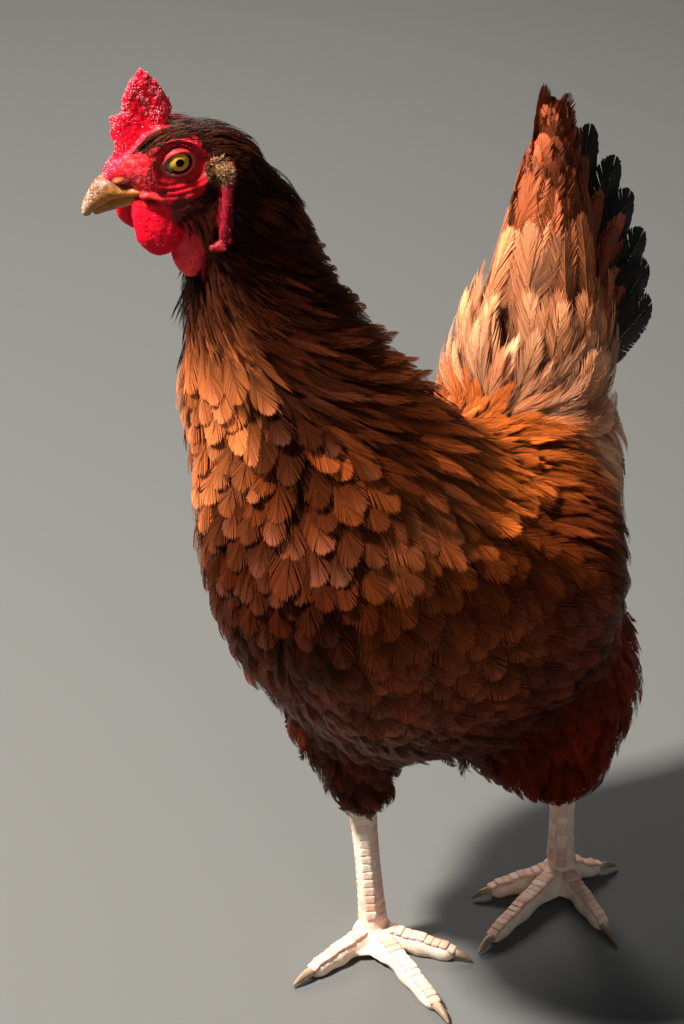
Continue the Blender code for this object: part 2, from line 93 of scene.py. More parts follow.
def box(node: str) -> tuple[Array, Array]:
    """Returns a CAD node's lowest and highest corners in millimetres."""
    low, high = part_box(node)
    return np.array(low) / MM, np.array(high) / MM


def middle(node: str) -> Array:
    """Returns the middle of a CAD node's box in millimetres."""
    low, high = box(node)
    return (low + high) / 2


def shares(places: Array, corners: Sequence[Array]) -> Array:
    """Returns how far along each side of a box places lie, as three rows from 0 to 1."""
    low, high = corners
    return ((places - low) / (high - low)).T


def above_hem(places: Array) -> Array:
    """Returns how high places lie over the hem of their side's thigh."""
    left, right = (box(f"thigh_{word}")[0][2] for word, _ in SIDES)
    return places[:, 2] - np.where(places[:, 0] > 0, left, right)


def unit(vectors: Array) -> Array:
    """Returns vectors scaled to length one along their last axis."""
    length = np.linalg.norm(vectors, axis=-1, keepdims=True)
    return vectors / np.maximum(length, 1e-9)


def ramp(value: Array, start: float, stop: float) -> Array:
    """Returns a smooth step from 0 at start to 1 at stop."""
    t = np.clip((np.asarray(value, float) - start) / (stop - start), 0.0, 1.0)
    return t * t * (3 - 2 * t)


def hump(value: Array, centre: float, width: float) -> Array:
    """Returns a bell of height one round a centre."""
    return np.exp(-(((np.asarray(value, float) - centre) / width) ** 2))


def blend(first: Array, second: Array, share: Array) -> Array:
    """Mixes two sets of colours or vectors by a share for each row."""
    share = np.asarray(share, float)[..., None]
    return np.asarray(first, float) * (1 - share) + np.asarray(second, float) * share


def layered(colour: Array, *layers: tuple[Array | Colour, Array]) -> Array:
    """Lays colours over a first one in order, each by its share for each row."""
    for over, share in layers:
        colour = blend(colour, over, share)
    return colour


def waves(points: Array, size: float, seed: int, octaves: int = 3) -> Array:
    """Returns a smooth random value from about -1 to 1 at each point.

    Args:
        points: Places, n x 3, in millimetres.
        size: How far apart the value's highs lie, in millimetres.
        seed: Picks the pattern.
        octaves: How many finer patterns are added.

    Returns:
        One value for each point.
    """
    rng = np.random.default_rng(seed)
    total = np.zeros(len(points))
    for octave in range(octaves):
        turns = unit(rng.normal(size=(6, 3))) * (2 * math.pi / size) * 2**octave
        phases = rng.uniform(0, 2 * math.pi, 6)
        total += np.sin(points @ turns.T + phases).sum(axis=1) / 3.2 / 1.8**octave
    return total


@dataclass(frozen=True)
class HeadFrame:
    """The head's own axes, found from the two eyes: ahead, its left side and its crown."""

    origin: Array
    ahead: Array
    side: Array
    crown: Array

    @classmethod
    def from_eyes(cls, dip: float = 10.0) -> "HeadFrame":
        """Returns the frame halfway between the eyes, its beak lowered by dip degrees."""
        left, right = middle("eye_left"), middle("eye_right")
        side = unit(left - right)
        level = np.cross(side, UP)
        ahead = level * math.cos(math.radians(dip)) - UP * math.sin(math.radians(dip))
        return cls((left + right) / 2, ahead, side, np.cross(ahead, side))

    @property
    def axes(self) -> Array:
        """Returns the axes as rows: ahead, side and crown."""
        return np.array([self.ahead, self.side, self.crown])

    def place(self, spots: Array) -> Array:
        """Turns forward, left and up distances from the frame's middle into places."""
        return self.origin + np.asarray(spots, float) @ self.axes

    def read(self, places: Array) -> Array:
        """Turns places into forward, left and up distances from the frame's middle."""
        return (np.asarray(places, float) - self.origin) @ self.axes.T


HEAD = HeadFrame.from_eyes()


# ---------------------------------------------------------------- shader kit


class Socket:
    """A shader socket that does sums: its operators add Math nodes to the tree."""

    def __init__(self, tree: NodeTree, output: NodeSocket) -> None:
        """Keeps the tree and the socket that carries the value."""
        self.tree = tree
        self.output = output

    def math(self, operation: str, other: "Socket | float" = 0.0, third: float = 0.0) -> "Socket":
        """Adds a Math node.

        Args:
            operation: The node's operation.
            other: The second value.
            third: The third value, where the operation has one.

        Returns:
            The node's result.
        """
        made = self.tree.nodes.new("ShaderNodeMath")
        made.operation = operation
        self.tree.links.new(self.output, made.inputs[0])
        if isinstance(other, Socket):
            self.tree.links.new(other.output, made.inputs[1])
        else:
            made.inputs[1].default_value = other
        made.inputs[2].default_value = third
        return Socket(self.tree, made.outputs[0])

    def __add__(self, other: "Socket | float") -> "Socket":
        """Returns the sum."""
        return self.math("ADD", other)

    def __sub__(self, other: "Socket | float") -> "Socket":
        """Returns the difference."""
        return self.math("SUBTRACT", other)

    def __rsub__(self, other: float) -> "Socket":
        """Returns other less this value."""
        return self.math("MULTIPLY_ADD", -1.0, other)

    def __mul__(self, other: "Socket | float") -> "Socket":
        """Returns the product."""
        return self.math("MULTIPLY", other)

    def __truediv__(self, other: "Socket | float") -> "Socket":
        """Returns the quotient."""
        return self.math("DIVIDE", other)

    __radd__ = __add__
    __rmul__ = __mul__

    def clamp(self) -> "Socket":
        """Returns the value kept between 0 and 1."""
        return self.math("MINIMUM", 1.0).math("MAXIMUM", 0.0)

    def step(self, start: float, stop: float) -> "Socket":
        """Returns 0 below start, 1 above stop and a straight line between."""
        return ((self - start) / (stop - start)).clamp()


def add_node(tree: NodeTree, kind: str, settings: dict | None = None, **values: object) -> Node:
    """Adds a node to a tree.

    Args:
        tree: The tree.
        kind: The node's type.
        settings: Attributes set before the sockets, such as an operation.
        **values: Numbers, colours or sockets by the input's name, with _ for a space.

    Returns:
        The node.
    """
    made = tree.nodes.new(kind)
    for key, value in (settings or {}).items():
        setattr(made, key, value)
    for key, value in values.items():
        name = key.replace("_", " ")
        target = next(s for s in made.inputs if s.name == name and s.enabled)
        source = getattr(value, "output", value)
        if isinstance(source, NodeSocket):
            tree.links.new(source, target)
        else:
            target.default_value = value
    return made


class Shader:
    """Builds one material round a Principled BSDF."""

    def __init__(self, name: str, **settings: float | tuple) -> None:
        """Makes the material and sets the shader's own values.

        Args:
            name: The material's name.
            **settings: Values by the socket's name, with _ for a space.
        """
        self.material = bpy.data.materials.new(name)
        self.material.use_nodes = True
        self.tree = self.material.node_tree
        self.principled = self.tree.nodes["Principled BSDF"]
        for key, value in settings.items():
            self.principled.inputs[key.replace("_", " ")].default_value = value

    def node(self, kind: str, settings: dict | None = None, **values: object) -> Node:
        """Adds a node as add_node does, its type named without the ShaderNode prefix."""
        return add_node(self.tree, "ShaderNode" + kind, settings, **values)

    def out(self, made: Node, name: str | int = 0) -> Socket:
        """Returns a node's output by its name or number."""
        return Socket(self.tree, made.outputs[name])

    def place(self) -> Socket:
        """Returns the Object coordinates."""
        return self.out(self.node("TexCoord"), "Object")

    def attribute(self, name: str, output: str = "Color") -> Socket:
        """Returns a mesh attribute."""
        return self.out(self.node("Attribute", {"attribute_name": name}), output)

    def noise(self, vector: Socket, scale: float, detail: float = 3.0, rough: float = 0.5) -> Socket:
        """Returns a noise pattern's value.

        Args:
            vector: Where the pattern is read.
            scale: How many cells a metre, or a unit of the vector, holds.
            detail: How many finer patterns are added.
            rough: How strong they are.

        Returns:
            A value from 0 to 1.
        """
        made = self.node("TexNoise", Vector=vector, Scale=scale, Detail=detail, Roughness=rough)
        return self.out(made, 0)

    def stretched(self, vector: Socket, scale: Triple) -> Socket:
        """Returns a vector scaled on each axis."""
        return self.out(self.node("Mapping", Vector=vector, Scale=scale))

    def mix(self, share: Socket | float, first: Socket | Colour, second: Socket | Colour) -> Socket:
        """Returns a mix of two colours."""
        made = self.tree.nodes.new("ShaderNodeMix")
        made.data_type = "RGBA"
        for slot, value in ((0, share), (6, first), (7, second)):
            if isinstance(value, Socket):
                self.tree.links.new(value.output, made.inputs[slot])
            else:
                made.inputs[slot].default_value = value if slot == 0 else (*value, 1.0)
        return Socket(self.tree, made.outputs[2])

    def scaled(self, colour: Socket, factor: Socket) -> Socket:
        """Returns a colour made brighter or darker by a factor."""
        made = self.node("VectorMath", {"operation": "SCALE"}, Scale=factor)
        self.tree.links.new(colour.output, made.inputs[0])
        return self.out(made)

    def feed(self, **links: Socket) -> None:
        """Links sockets to the shader's inputs, named with _ for a space."""
        for key, value in links.items():
            self.tree.links.new(value.output, self.principled.inputs[key.replace("_", " ")])

    def bump(self, height: Socket, strength: float, distance: float) -> None:
        """Feeds a bump pattern to the shader.

        Args:
            height: The pattern.
            strength: How much of it shows, from 0 to 1.
            distance: How high its highs stand, in metres.
        """
        made = self.node("Bump", Height=height, Strength=strength, Distance=distance)
        self.feed(Normal=self.out(made))


# ---------------------------------------------------------------- finishes


@dataclass(frozen=True)
class FeatherFinish:
    """Silky barbs: streaks along each barb over the colours that the coat carries."""

    name: str
    roughness: float = 0.45
    streak: float = 0.6
    bump: float = 0.5

    def make(self) -> Material:
        """Returns the material."""
        made = Shader(self.name, Specular_IOR_Level=0.13, Specular_Tint=(1.0, 0.45, 0.28, 1.0))
        barb = made.out(made.node("UVMap", {"uv_map": "Barb"}))
        fibre = made.noise(made.stretched(barb, (0.8, 4.0, 1.0)), 1.0, 2.0, 0.6)
        colour = made.scaled(made.attribute("Plumage"), 1 - self.streak / 2 + fibre * self.streak)
        made.feed(Base_Color=colour, Roughness=self.roughness + 0.22 * (fibre - 0.5))
        made.bump(fibre, self.bump, 0.0003)
        return made.material


@dataclass(frozen=True)
class HideFinish:
    """Bare skin: moist, finely wrinkled and grained, over the colours that the skin carries."""

    name: str
    roughness: float = 0.42
    grain: float = 1500.0
    depth: float = 0.00022
    flesh: float = 0.3

    def make(self) -> Material:
        """Returns the material."""
        made = Shader(
            self.name, Specular_IOR_Level=0.13, Subsurface_Weight=self.flesh,
            Subsurface_Radius=(1.0, 0.12, 0.1), Subsurface_Scale=0.0035,
        )
        place = made.place()
        smooth = {"feature": "SMOOTH_F1"}
        cells = made.node("TexVoronoi", smooth, Vector=place, Scale=self.grain, Smoothness=0.4)
        fine = made.noise(place, self.grain * 1.6, 3.0, 0.6)
        soft = made.noise(place, 320.0, 3.0, 0.55)
        grain = (1 - made.out(cells, "Distance")) * 0.7 + fine * 0.5
        colour = made.scaled(made.attribute("Hide"), 0.72 + 0.34 * soft + 0.22 * fine)
        made.feed(Base_Color=colour, Roughness=self.roughness + 0.2 * (soft - 0.5))
        made.bump(grain, 0.75, self.depth)
        return made.material


@dataclass(frozen=True)
class HornFinish:
    """Polished horn with growth lines, worn and chipped towards its tip."""

    name: str
    roughness: float = 0.46
    lines: float = 900.0

    def make(self) -> Material:
        """Returns the material."""
        made = Shader(
            self.name, Specular_IOR_Level=0.3, Coat_Roughness=0.3, Subsurface_Weight=0.1,
            Subsurface_Radius=(1.0, 0.6, 0.3), Subsurface_Scale=0.001,
        )
        place = made.place()
        cloud = made.noise(place, 420.0, 4.0, 0.6)
        line = made.noise(made.stretched(place, (0.5, 0.5, 2.2)), self.lines, 3.0, 0.6)
        speck = made.noise(place, 2600.0, 2.0, 0.5).step(0.62, 0.72)
        colour = made.scaled(made.attribute("Hide"), 0.7 + 0.45 * cloud + 0.2 * line)
        colour = made.mix(speck * 0.35, colour, (0.85, 0.72, 0.6))
        rough = self.roughness + 0.3 * (cloud - 0.4)
        made.feed(Base_Color=colour, Roughness=rough, Coat_Weight=0.05 + 0.12 * cloud)
        made.bump(line + 0.6 * cloud, 0.5, 0.00014)
        return made.material


@dataclass(frozen=True)
class EyeFinish:
    """A wet eye: black pupil, amber iris with fine spokes, greyish front corner and a rim painted dark as
    lid shade.
    """

    name: str
    iris: float = 3.5
    pupil: float = 1.5

    def make(self) -> Material:
        """Returns the material, which reads the eye's own flat map."""
        wet = {"Roughness": 0.12, "Specular_IOR_Level": 0.0, "Coat_Weight": 0.16, "Coat_Roughness": 0.02}
        made = Shader(self.name, **wet)
        flat = made.node("SeparateXYZ", Vector=made.out(made.node("UVMap", {"uv_map": "Iris"})))
        across, above = made.out(flat, "X"), made.out(flat, "Y")
        radius = (across * across + above * above).math("SQRT") + 0.001
        spoke = made.node("CombineXYZ", X=across / radius * 9.0, Y=above / radius * 9.0, Z=radius * 5.0)
        spokes = made.noise(made.out(spoke), 1.0, 3.0, 0.6)
        iris = made.mix(spokes, (0.42, 0.18, 0.012), (0.80, 0.43, 0.05))
        ring = (radius * EYE_MAP).step(self.pupil - 0.1, self.pupil + 0.15)
        inner = (radius * EYE_MAP).step(self.iris * 0.45, self.iris * 0.8)
        iris = made.mix(inner, made.mix(0.35, iris, (0.45, 0.2, 0.03)), iris)
        grey = made.attribute("Corner", "Fac")
        # painted shade: outside the iris the ball is near black, as under the lids; the grey front corner
        # is its own colour
        rim = (radius * EYE_MAP).step(self.iris - 0.35, self.iris + 0.1)
        rim_shade_and_corner = made.mix(grey, (0.012, 0.006, 0.004), (0.24, 0.23, 0.15))
        colour = made.mix(rim, made.mix(ring, (0.001, 0.001, 0.001), iris), rim_shade_and_corner)
        made.feed(Base_Color=colour)
        return made.material


@dataclass(frozen=True)
class FloorFinish:
    """A plain pale studio floor."""

    name: str = "studio_floor"
    colour: Colour = (0.125, 0.125, 0.12)

    def make(self) -> Material:
        """Returns the material."""
        made = Shader(self.name, Roughness=0.85, Specular_IOR_Level=0.2)
        cloud = made.noise(made.place(), 6.0, 2.0, 0.5)
        tint = made.mix(cloud * 0.25, self.colour, tuple(0.9 * c for c in self.colour))
        made.feed(Base_Color=tint)
        return made.material


# ---------------------------------------------------------------- shapes


def linked(name: str, data: bpy.types.ID) -> Object:
    """Returns a new object in the scene that holds the data."""
    made = bpy.data.objects.new(name, data)
    bpy.context.scene.collection.objects.link(made)
    return made


def plain_mesh(worker: Object) -> Mesh:
    """Returns what a worker's modifiers make of it and removes the worker."""
    evaluated = worker.evaluated_get(bpy.context.evaluated_depsgraph_get())
    mesh = bpy.data.meshes.new_from_object(evaluated)
    bpy.data.objects.remove(worker)
    return mesh


@dataclass
class Shape:
    """A triangle mesh in millimetres."""

    points: Array
    faces: Array

    @classmethod
    def joined(cls, shapes: Sequence["Shape"]) -> "Shape":
        """Returns several shapes as one."""
        points, faces, count = [], [], 0
        for shape in shapes:
            points.append(shape.points)
            faces.append(shape.faces + count)
            count += len(shape.points)
        return cls(np.concatenate(points), np.concatenate(faces))

    @classmethod
    def taken_from(cls, mesh: Mesh) -> "Shape":
        """Returns a mesh's triangles and removes the mesh."""
        points = np.empty(len(mesh.vertices) * 3, np.float32)
        mesh.vertices.foreach_get("co", points)
        mesh.calc_loop_triangles()
        faces = np.empty(len(mesh.loop_triangles) * 3, np.int32)
        mesh.loop_triangles.foreach_get("vertices", faces)
        bpy.data.meshes.remove(mesh)
        return cls(points.reshape(-1, 3).astype(float) / MM, faces.reshape(-1, 3))

    @classmethod
    def of_node(cls, node: str, swell: float) -> "Shape":
        """Returns a copy of a CAD node, welded and swollen a little."""
        made = bmesh.new()
        made.from_mesh(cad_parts[node].data)
        bmesh.ops.remove_doubles(made, verts=made.verts[:], dist=0.00001)
        bmesh.ops.recalc_face_normals(made, faces=made.faces[:])
        mesh = bpy.data.meshes.new(node)
        made.to_mesh(mesh)
        made.free()
        shape = cls.taken_from(mesh)
        shape.points += shape.normals() * swell
        return shape

    def normals(self) -> Array:
        """Returns each point's outward normal."""
        a, b, c = (self.points[self.faces[:, k]] for k in range(3))
        flat = np.cross(b - a, c - a)
        total = np.zeros_like(self.points)
        for corner in range(3):
            for axis in range(3):
                total[:, axis] += np.bincount(self.faces[:, corner], flat[:, axis], len(total))
        return unit(total)

    def mesh(self, name: str) -> Mesh:
        """Returns a Blender mesh in metres, shaded smooth."""
        mesh = bpy.data.meshes.new(name)
        count = len(self.faces)
        mesh.vertices.add(len(self.points))
        mesh.vertices.foreach_set("co", (self.points * MM).astype(np.float32).ravel())
        mesh.loops.add(count * 3)
        mesh.loops.foreach_set("vertex_index", self.faces.astype(np.int32).ravel())
        mesh.polygons.add(count)
        mesh.polygons.foreach_set("loop_start", np.arange(0, count * 3, 3, dtype=np.int32))
        mesh.update(calc_edges=True)
        mesh.shade_smooth()
        return mesh

    def remeshed(self, voxel: float) -> "Shape":
        """Returns one closed skin round all that the shape holds, made of cells of the given size."""
        worker = linked("worker", self.mesh("worker"))
        modifier = worker.modifiers.new("skin", "REMESH")
        modifier.mode = "VOXEL"
        modifier.voxel_size = voxel * MM
        return Shape.taken_from(plain_mesh(worker))

    def filled(self, rounds: int, share: Array | float = 1.0) -> "Shape":
        """Returns the shape with its hollows filled, as its points only ever move outwards.

        Args:
            rounds: How many times the hollows are softened.
            share: How far each point follows.

        Returns:
            A new shape.
        """
        shape = self
        for _ in range(rounds):
            normals = shape.normals()
            out = np.einsum("ij,ij->i", shape.relaxed(6).points - shape.points, normals)
            shape = Shape(shape.points + normals * (np.maximum(out, 0) * share)[:, None], shape.faces)
        return shape

    def relaxed(self, rounds: int, share: Array | float = 1.0, hold: float = 0.0) -> "Shape":
        """Returns the shape smoothed.

        Args:
            rounds: How many times each point moves towards its neighbours' middle.
            share: How far it moves, for all points or for each.
            hold: How much of each move the next one takes back, which keeps the volume.

        Returns:
            A new shape.
        """
        edges = np.concatenate([self.faces[:, (0, 1)], self.faces[:, (1, 2)], self.faces[:, (2, 0)]])
        degree = np.bincount(edges[:, 0], minlength=len(self.points)).astype(float)
        degree += np.bincount(edges[:, 1], minlength=len(self.points))
        points = self.points.copy()
        share = np.broadcast_to(np.asarray(share, float), len(points))[:, None]
        for turn in range(rounds):
            total = np.zeros_like(points)
            for axis in range(3):
                total[:, axis] += np.bincount(edges[:, 0], points[edges[:, 1], axis], len(points))
                total[:, axis] += np.bincount(edges[:, 1], points[edges[:, 0], axis], len(points))
            move = (total / np.maximum(degree, 1)[:, None] - points) * share
            points += move * (0.6 if turn % 2 == 0 or hold == 0 else -0.6 * hold)
        return Shape(points, self.faces)


def smooth_rows(rows: Rows, at: Array) -> Array:
    """Reads a smooth curve through rows of numbers at places from 0 to 1 along it."""
    table = np.asarray(rows, float)
    knots = np.concatenate([[0.0], np.cumsum(np.linalg.norm(np.diff(table[:, :3], axis=0), axis=1))])
    slopes = np.gradient(table, knots, axis=0)
    where = np.asarray(at, float) * knots[-1]
    low = np.clip(np.searchsorted(knots, where, side="right") - 1, 0, len(knots) - 2)
    width = (knots[low + 1] - knots[low])[:, None]
    t = ((where - knots[low]) / width[:, 0])[:, None]
    return (
        (2 * t**3 - 3 * t**2 + 1) * table[low]
        + (t**3 - 2 * t**2 + t) * width * slopes[low]
        + (3 * t**2 - 2 * t**3) * table[low + 1]
        + (t**3 - t**2) * width * slopes[low + 1]
    )


@dataclass
class Loft:
    """A closed body of rounded sections: rows of x, y, z, half width, height above and depth below."""

    rows: Rows
    rings: int = 24
    sides: int = 24
    caps: tuple[float, float] = (5.0, 5.0)
    across: Array | None = None
    fullness: float = 2.0
    wobble: Callable[[Array, Array], Array] | None = None

    def shape(self) -> Shape:
        """Returns the body, its ends rounded off over the two cap lengths."""
        even = np.linspace(0.0, 1.0, self.rings)
        places = 0.5 * (1 - np.cos(np.pi * even)) * 0.6 + 0.4 * even
        rows = smooth_rows(self.rows, places)
        after = smooth_rows(self.rows, np.clip(places + 0.01, 0, 1))[:, :3]
        along = unit(after - smooth_rows(self.rows, np.clip(places - 0.01, 0, 1))[:, :3])
        across = np.array([1.0, 0.0, 0.0]) if self.across is None else self.across
        right = unit(across - along * (along @ across)[:, None])
        above = np.cross(right, along)
        above *= -1 if above[:, 2].sum() < 0 else 1
        length = np.linalg.norm(np.diff(np.asarray(self.rows)[:, :3], axis=0), axis=1).sum()
        full = np.ones(self.rings)
        for cap, run in ((self.caps[0], places), (self.caps[1], 1 - places)):
            full *= np.sqrt(1 - (1 - np.clip(run * length / max(cap, 0.01), 0, 1)) ** 2)
        turn = np.linspace(0, 2 * np.pi, self.sides, endpoint=False)
        power = 2.0 / self.fullness
        swing = np.sign(np.cos(turn)) * np.abs(np.cos(turn)) ** power
        rise = np.sign(np.sin(turn)) * np.abs(np.sin(turn)) ** power
        size = np.ones((self.rings, self.sides))
        if self.wobble is not None:
            size = self.wobble(places[:, None], turn[None, :])
        half = rows[:, 3:4] * full[:, None] * swing[None, :] * size
        reach = np.where(rise[None, :] > 0, rows[:, 4:5], rows[:, 5:6])
        height = reach * full[:, None] * rise[None, :] * size
        grid = rows[:, None, :3] + right[:, None] * half[..., None] + above[:, None] * height[..., None]
        return self.closed(grid[1:-1], rows[0, :3], rows[-1, :3])

    def closed(self, grid: Array, start: Array, stop: Array) -> Shape:
        """Joins the rings into a body with a point at each end."""
        rings, sides = grid.shape[:2]
        index = np.arange(rings * sides).reshape(rings, sides)
        after = np.roll(index, -1, axis=1)
        a, b, c, d = index[:-1], after[:-1], after[1:], index[1:]
        faces = [np.stack([a, b, c], -1).reshape(-1, 3), np.stack([a, c, d], -1).reshape(-1, 3)]
        first, last = rings * sides, rings * sides + 1
        faces.append(np.stack([np.full(sides, first), after[0], index[0]], -1))
        faces.append(np.stack([np.full(sides, last), index[-1], after[-1]], -1))
        shape = Shape(np.concatenate([grid.reshape(-1, 3), [start], [stop]]), np.concatenate(faces))
        inside = shape.points.mean(axis=0)
        facing = np.einsum("ij,ij->i", shape.normals(), shape.points - inside).sum()
        if facing < 0:
            shape.faces = shape.faces[:, ::-1].copy()
        return shape


def in_head(rows: Rows) -> Rows:
    """Turns rows given in the head's frame into rows of places."""
    return [(*HEAD.place(row[:3]), *row[3:]) for row in rows]


def bead(centre: Array, radii: Sequence[float], axes: Array | None = None) -> Shape:
    """Returns a ball or an ellipsoid along the given axes."""
    made = bmesh.new()
    bmesh.ops.create_icosphere(made, subdivisions=2, radius=1.0)
    points = np.array([v.co for v in made.verts]) * np.asarray(radii, float)
    faces = np.array([[v.index for v in f.verts] for f in made.faces])
    made.free()
    frame_axes = np.eye(3) if axes is None else axes
    return Shape(points @ frame_axes + centre, faces)


def cord_of_beads(path: Array, radius: float) -> Shape:
    """Returns a roll of flesh along a path."""
    rows = [(*p, radius, radius, radius) for p in path]
    return Loft(rows, rings=24, sides=12, caps=(radius, radius), across=HEAD.crown).shape()


class Surface:
    """A shape that can be asked for its nearest place and which way it faces."""

    def __init__(self, shape: Shape) -> None:
        """Builds the search tree."""
        self.shape = shape
        self.tree = BVHTree.FromPolygons(shape.points.tolist(), shape.faces.tolist())
        self.point_normals = shape.normals()
        self.face_normals = unit(self.point_normals[shape.faces].mean(axis=1))

    def nearest(self, points: Array) -> tuple[Array, Array]:
        """Returns the nearest places on the surface and the numbers of their faces."""
        places = np.empty_like(points)
        found = np.empty(len(points), int)
        for k, point in enumerate(points):
            spot, _, face, _ = self.tree.find_nearest(Vector(point))
            places[k] = spot
            found[k] = face
        return places, found


# ---------------------------------------------------------------- the skin


@dataclass
class Comb:
    """A single comb: a small point in front, then one tall lobe, thick at its root."""

    outline: tuple[tuple[float, float], ...] = (
        (25.4, -1.5), (22.8, 0.9), (19.9, 4.2), (20.4, 7.0), (20.9, 9.4), (19.9, 12.6), (20.1, 16.6),
        (17.0, 17.1), (14.6, 17.9), (14.0, 21.5), (12.6, 25.0), (10.1, 28.6), (7.4, 30.2), (5.7, 32.2),
        (3.4, 29.8), (0.2, 24.3), (-1.6, 20.0), (-2.6, 16.2), (-0.6, 12.6), (2.6, 8.0), (6.0, 3.0),
        (14.0, -2.5),
    )
    root_half: float = 2.9
    top_half: float = 1.5
    edge_bead: float = 1.25
    pitch: float = 1.15
    middle: tuple[float, float] = (9.0, 14.0)

    def inside(self, spots: Array) -> Array:
        """Returns each spot's distance inside the outline, negative outside it."""
        ring = np.array(self.outline)
        after = np.roll(ring, -1, axis=0)
        span = after - ring
        away = spots[:, None] - ring
        share = np.clip((away * span).sum(-1) / (span**2).sum(-1), 0, 1)
        gap = np.linalg.norm(away - share[..., None] * span, axis=-1).min(axis=1)
        crosses = (ring[:, 1] > spots[:, None, 1]) != (after[:, 1] > spots[:, None, 1])
        reach = ring[:, 0] + (spots[:, None, 1] - ring[:, 1]) * span[:, 0] / (span[:, 1] + 1e-9)
        odd = (crosses & (spots[:, None, 0] < reach)).sum(axis=1) % 2 == 1
        return np.where(odd, gap, -gap)

    def half_thickness(self, up: Array) -> Array:
        """Returns the half thickness at a height above the eyes."""
        return self.root_half + (self.top_half - self.root_half) * ramp(up, -2.0, 20.0)

    def shapes(self, rng: np.random.Generator) -> list[Shape]:
        """Returns the beads of flesh that fill the outline."""
        rows = np.arange(-4, 27, self.pitch), np.arange(-4, 35, self.pitch)
        spots = np.stack(np.meshgrid(*rows), -1).reshape(-1, 2)
        spots = spots + rng.uniform(-0.3, 0.3, spots.shape)
        depth = self.inside(spots)
        made = []
        axes = np.array([HEAD.ahead, HEAD.crown, HEAD.side])
        for (ahead, up), gap in zip(spots[depth > 0.75], depth[depth > 0.75]):
            flat = min(gap, 2.2)
            thick = float(self.half_thickness(np.array(up))) * min(1.0, 0.55 + gap * 0.2)
            made.append(bead(HEAD.place((ahead, 0, up)), (flat, flat, thick), axes))
        ring = np.array(self.outline)
        for near, far in zip(ring, np.roll(ring, -1, axis=0)):
            for share in np.arange(0, 1, 1.3 / np.linalg.norm(far - near)):
                ahead, up = near + (far - near) * share + rng.uniform(-0.25, 0.25, 2)
                size = self.edge_bead * rng.uniform(0.6, 1.05)
                inward = np.array([ahead, up]) + unit(np.array(self.middle) - (ahead, up)) * 0.9
                made.append(bead(HEAD.place((inward[0], 0, inward[1])), (size, size, size), axes))
        return made


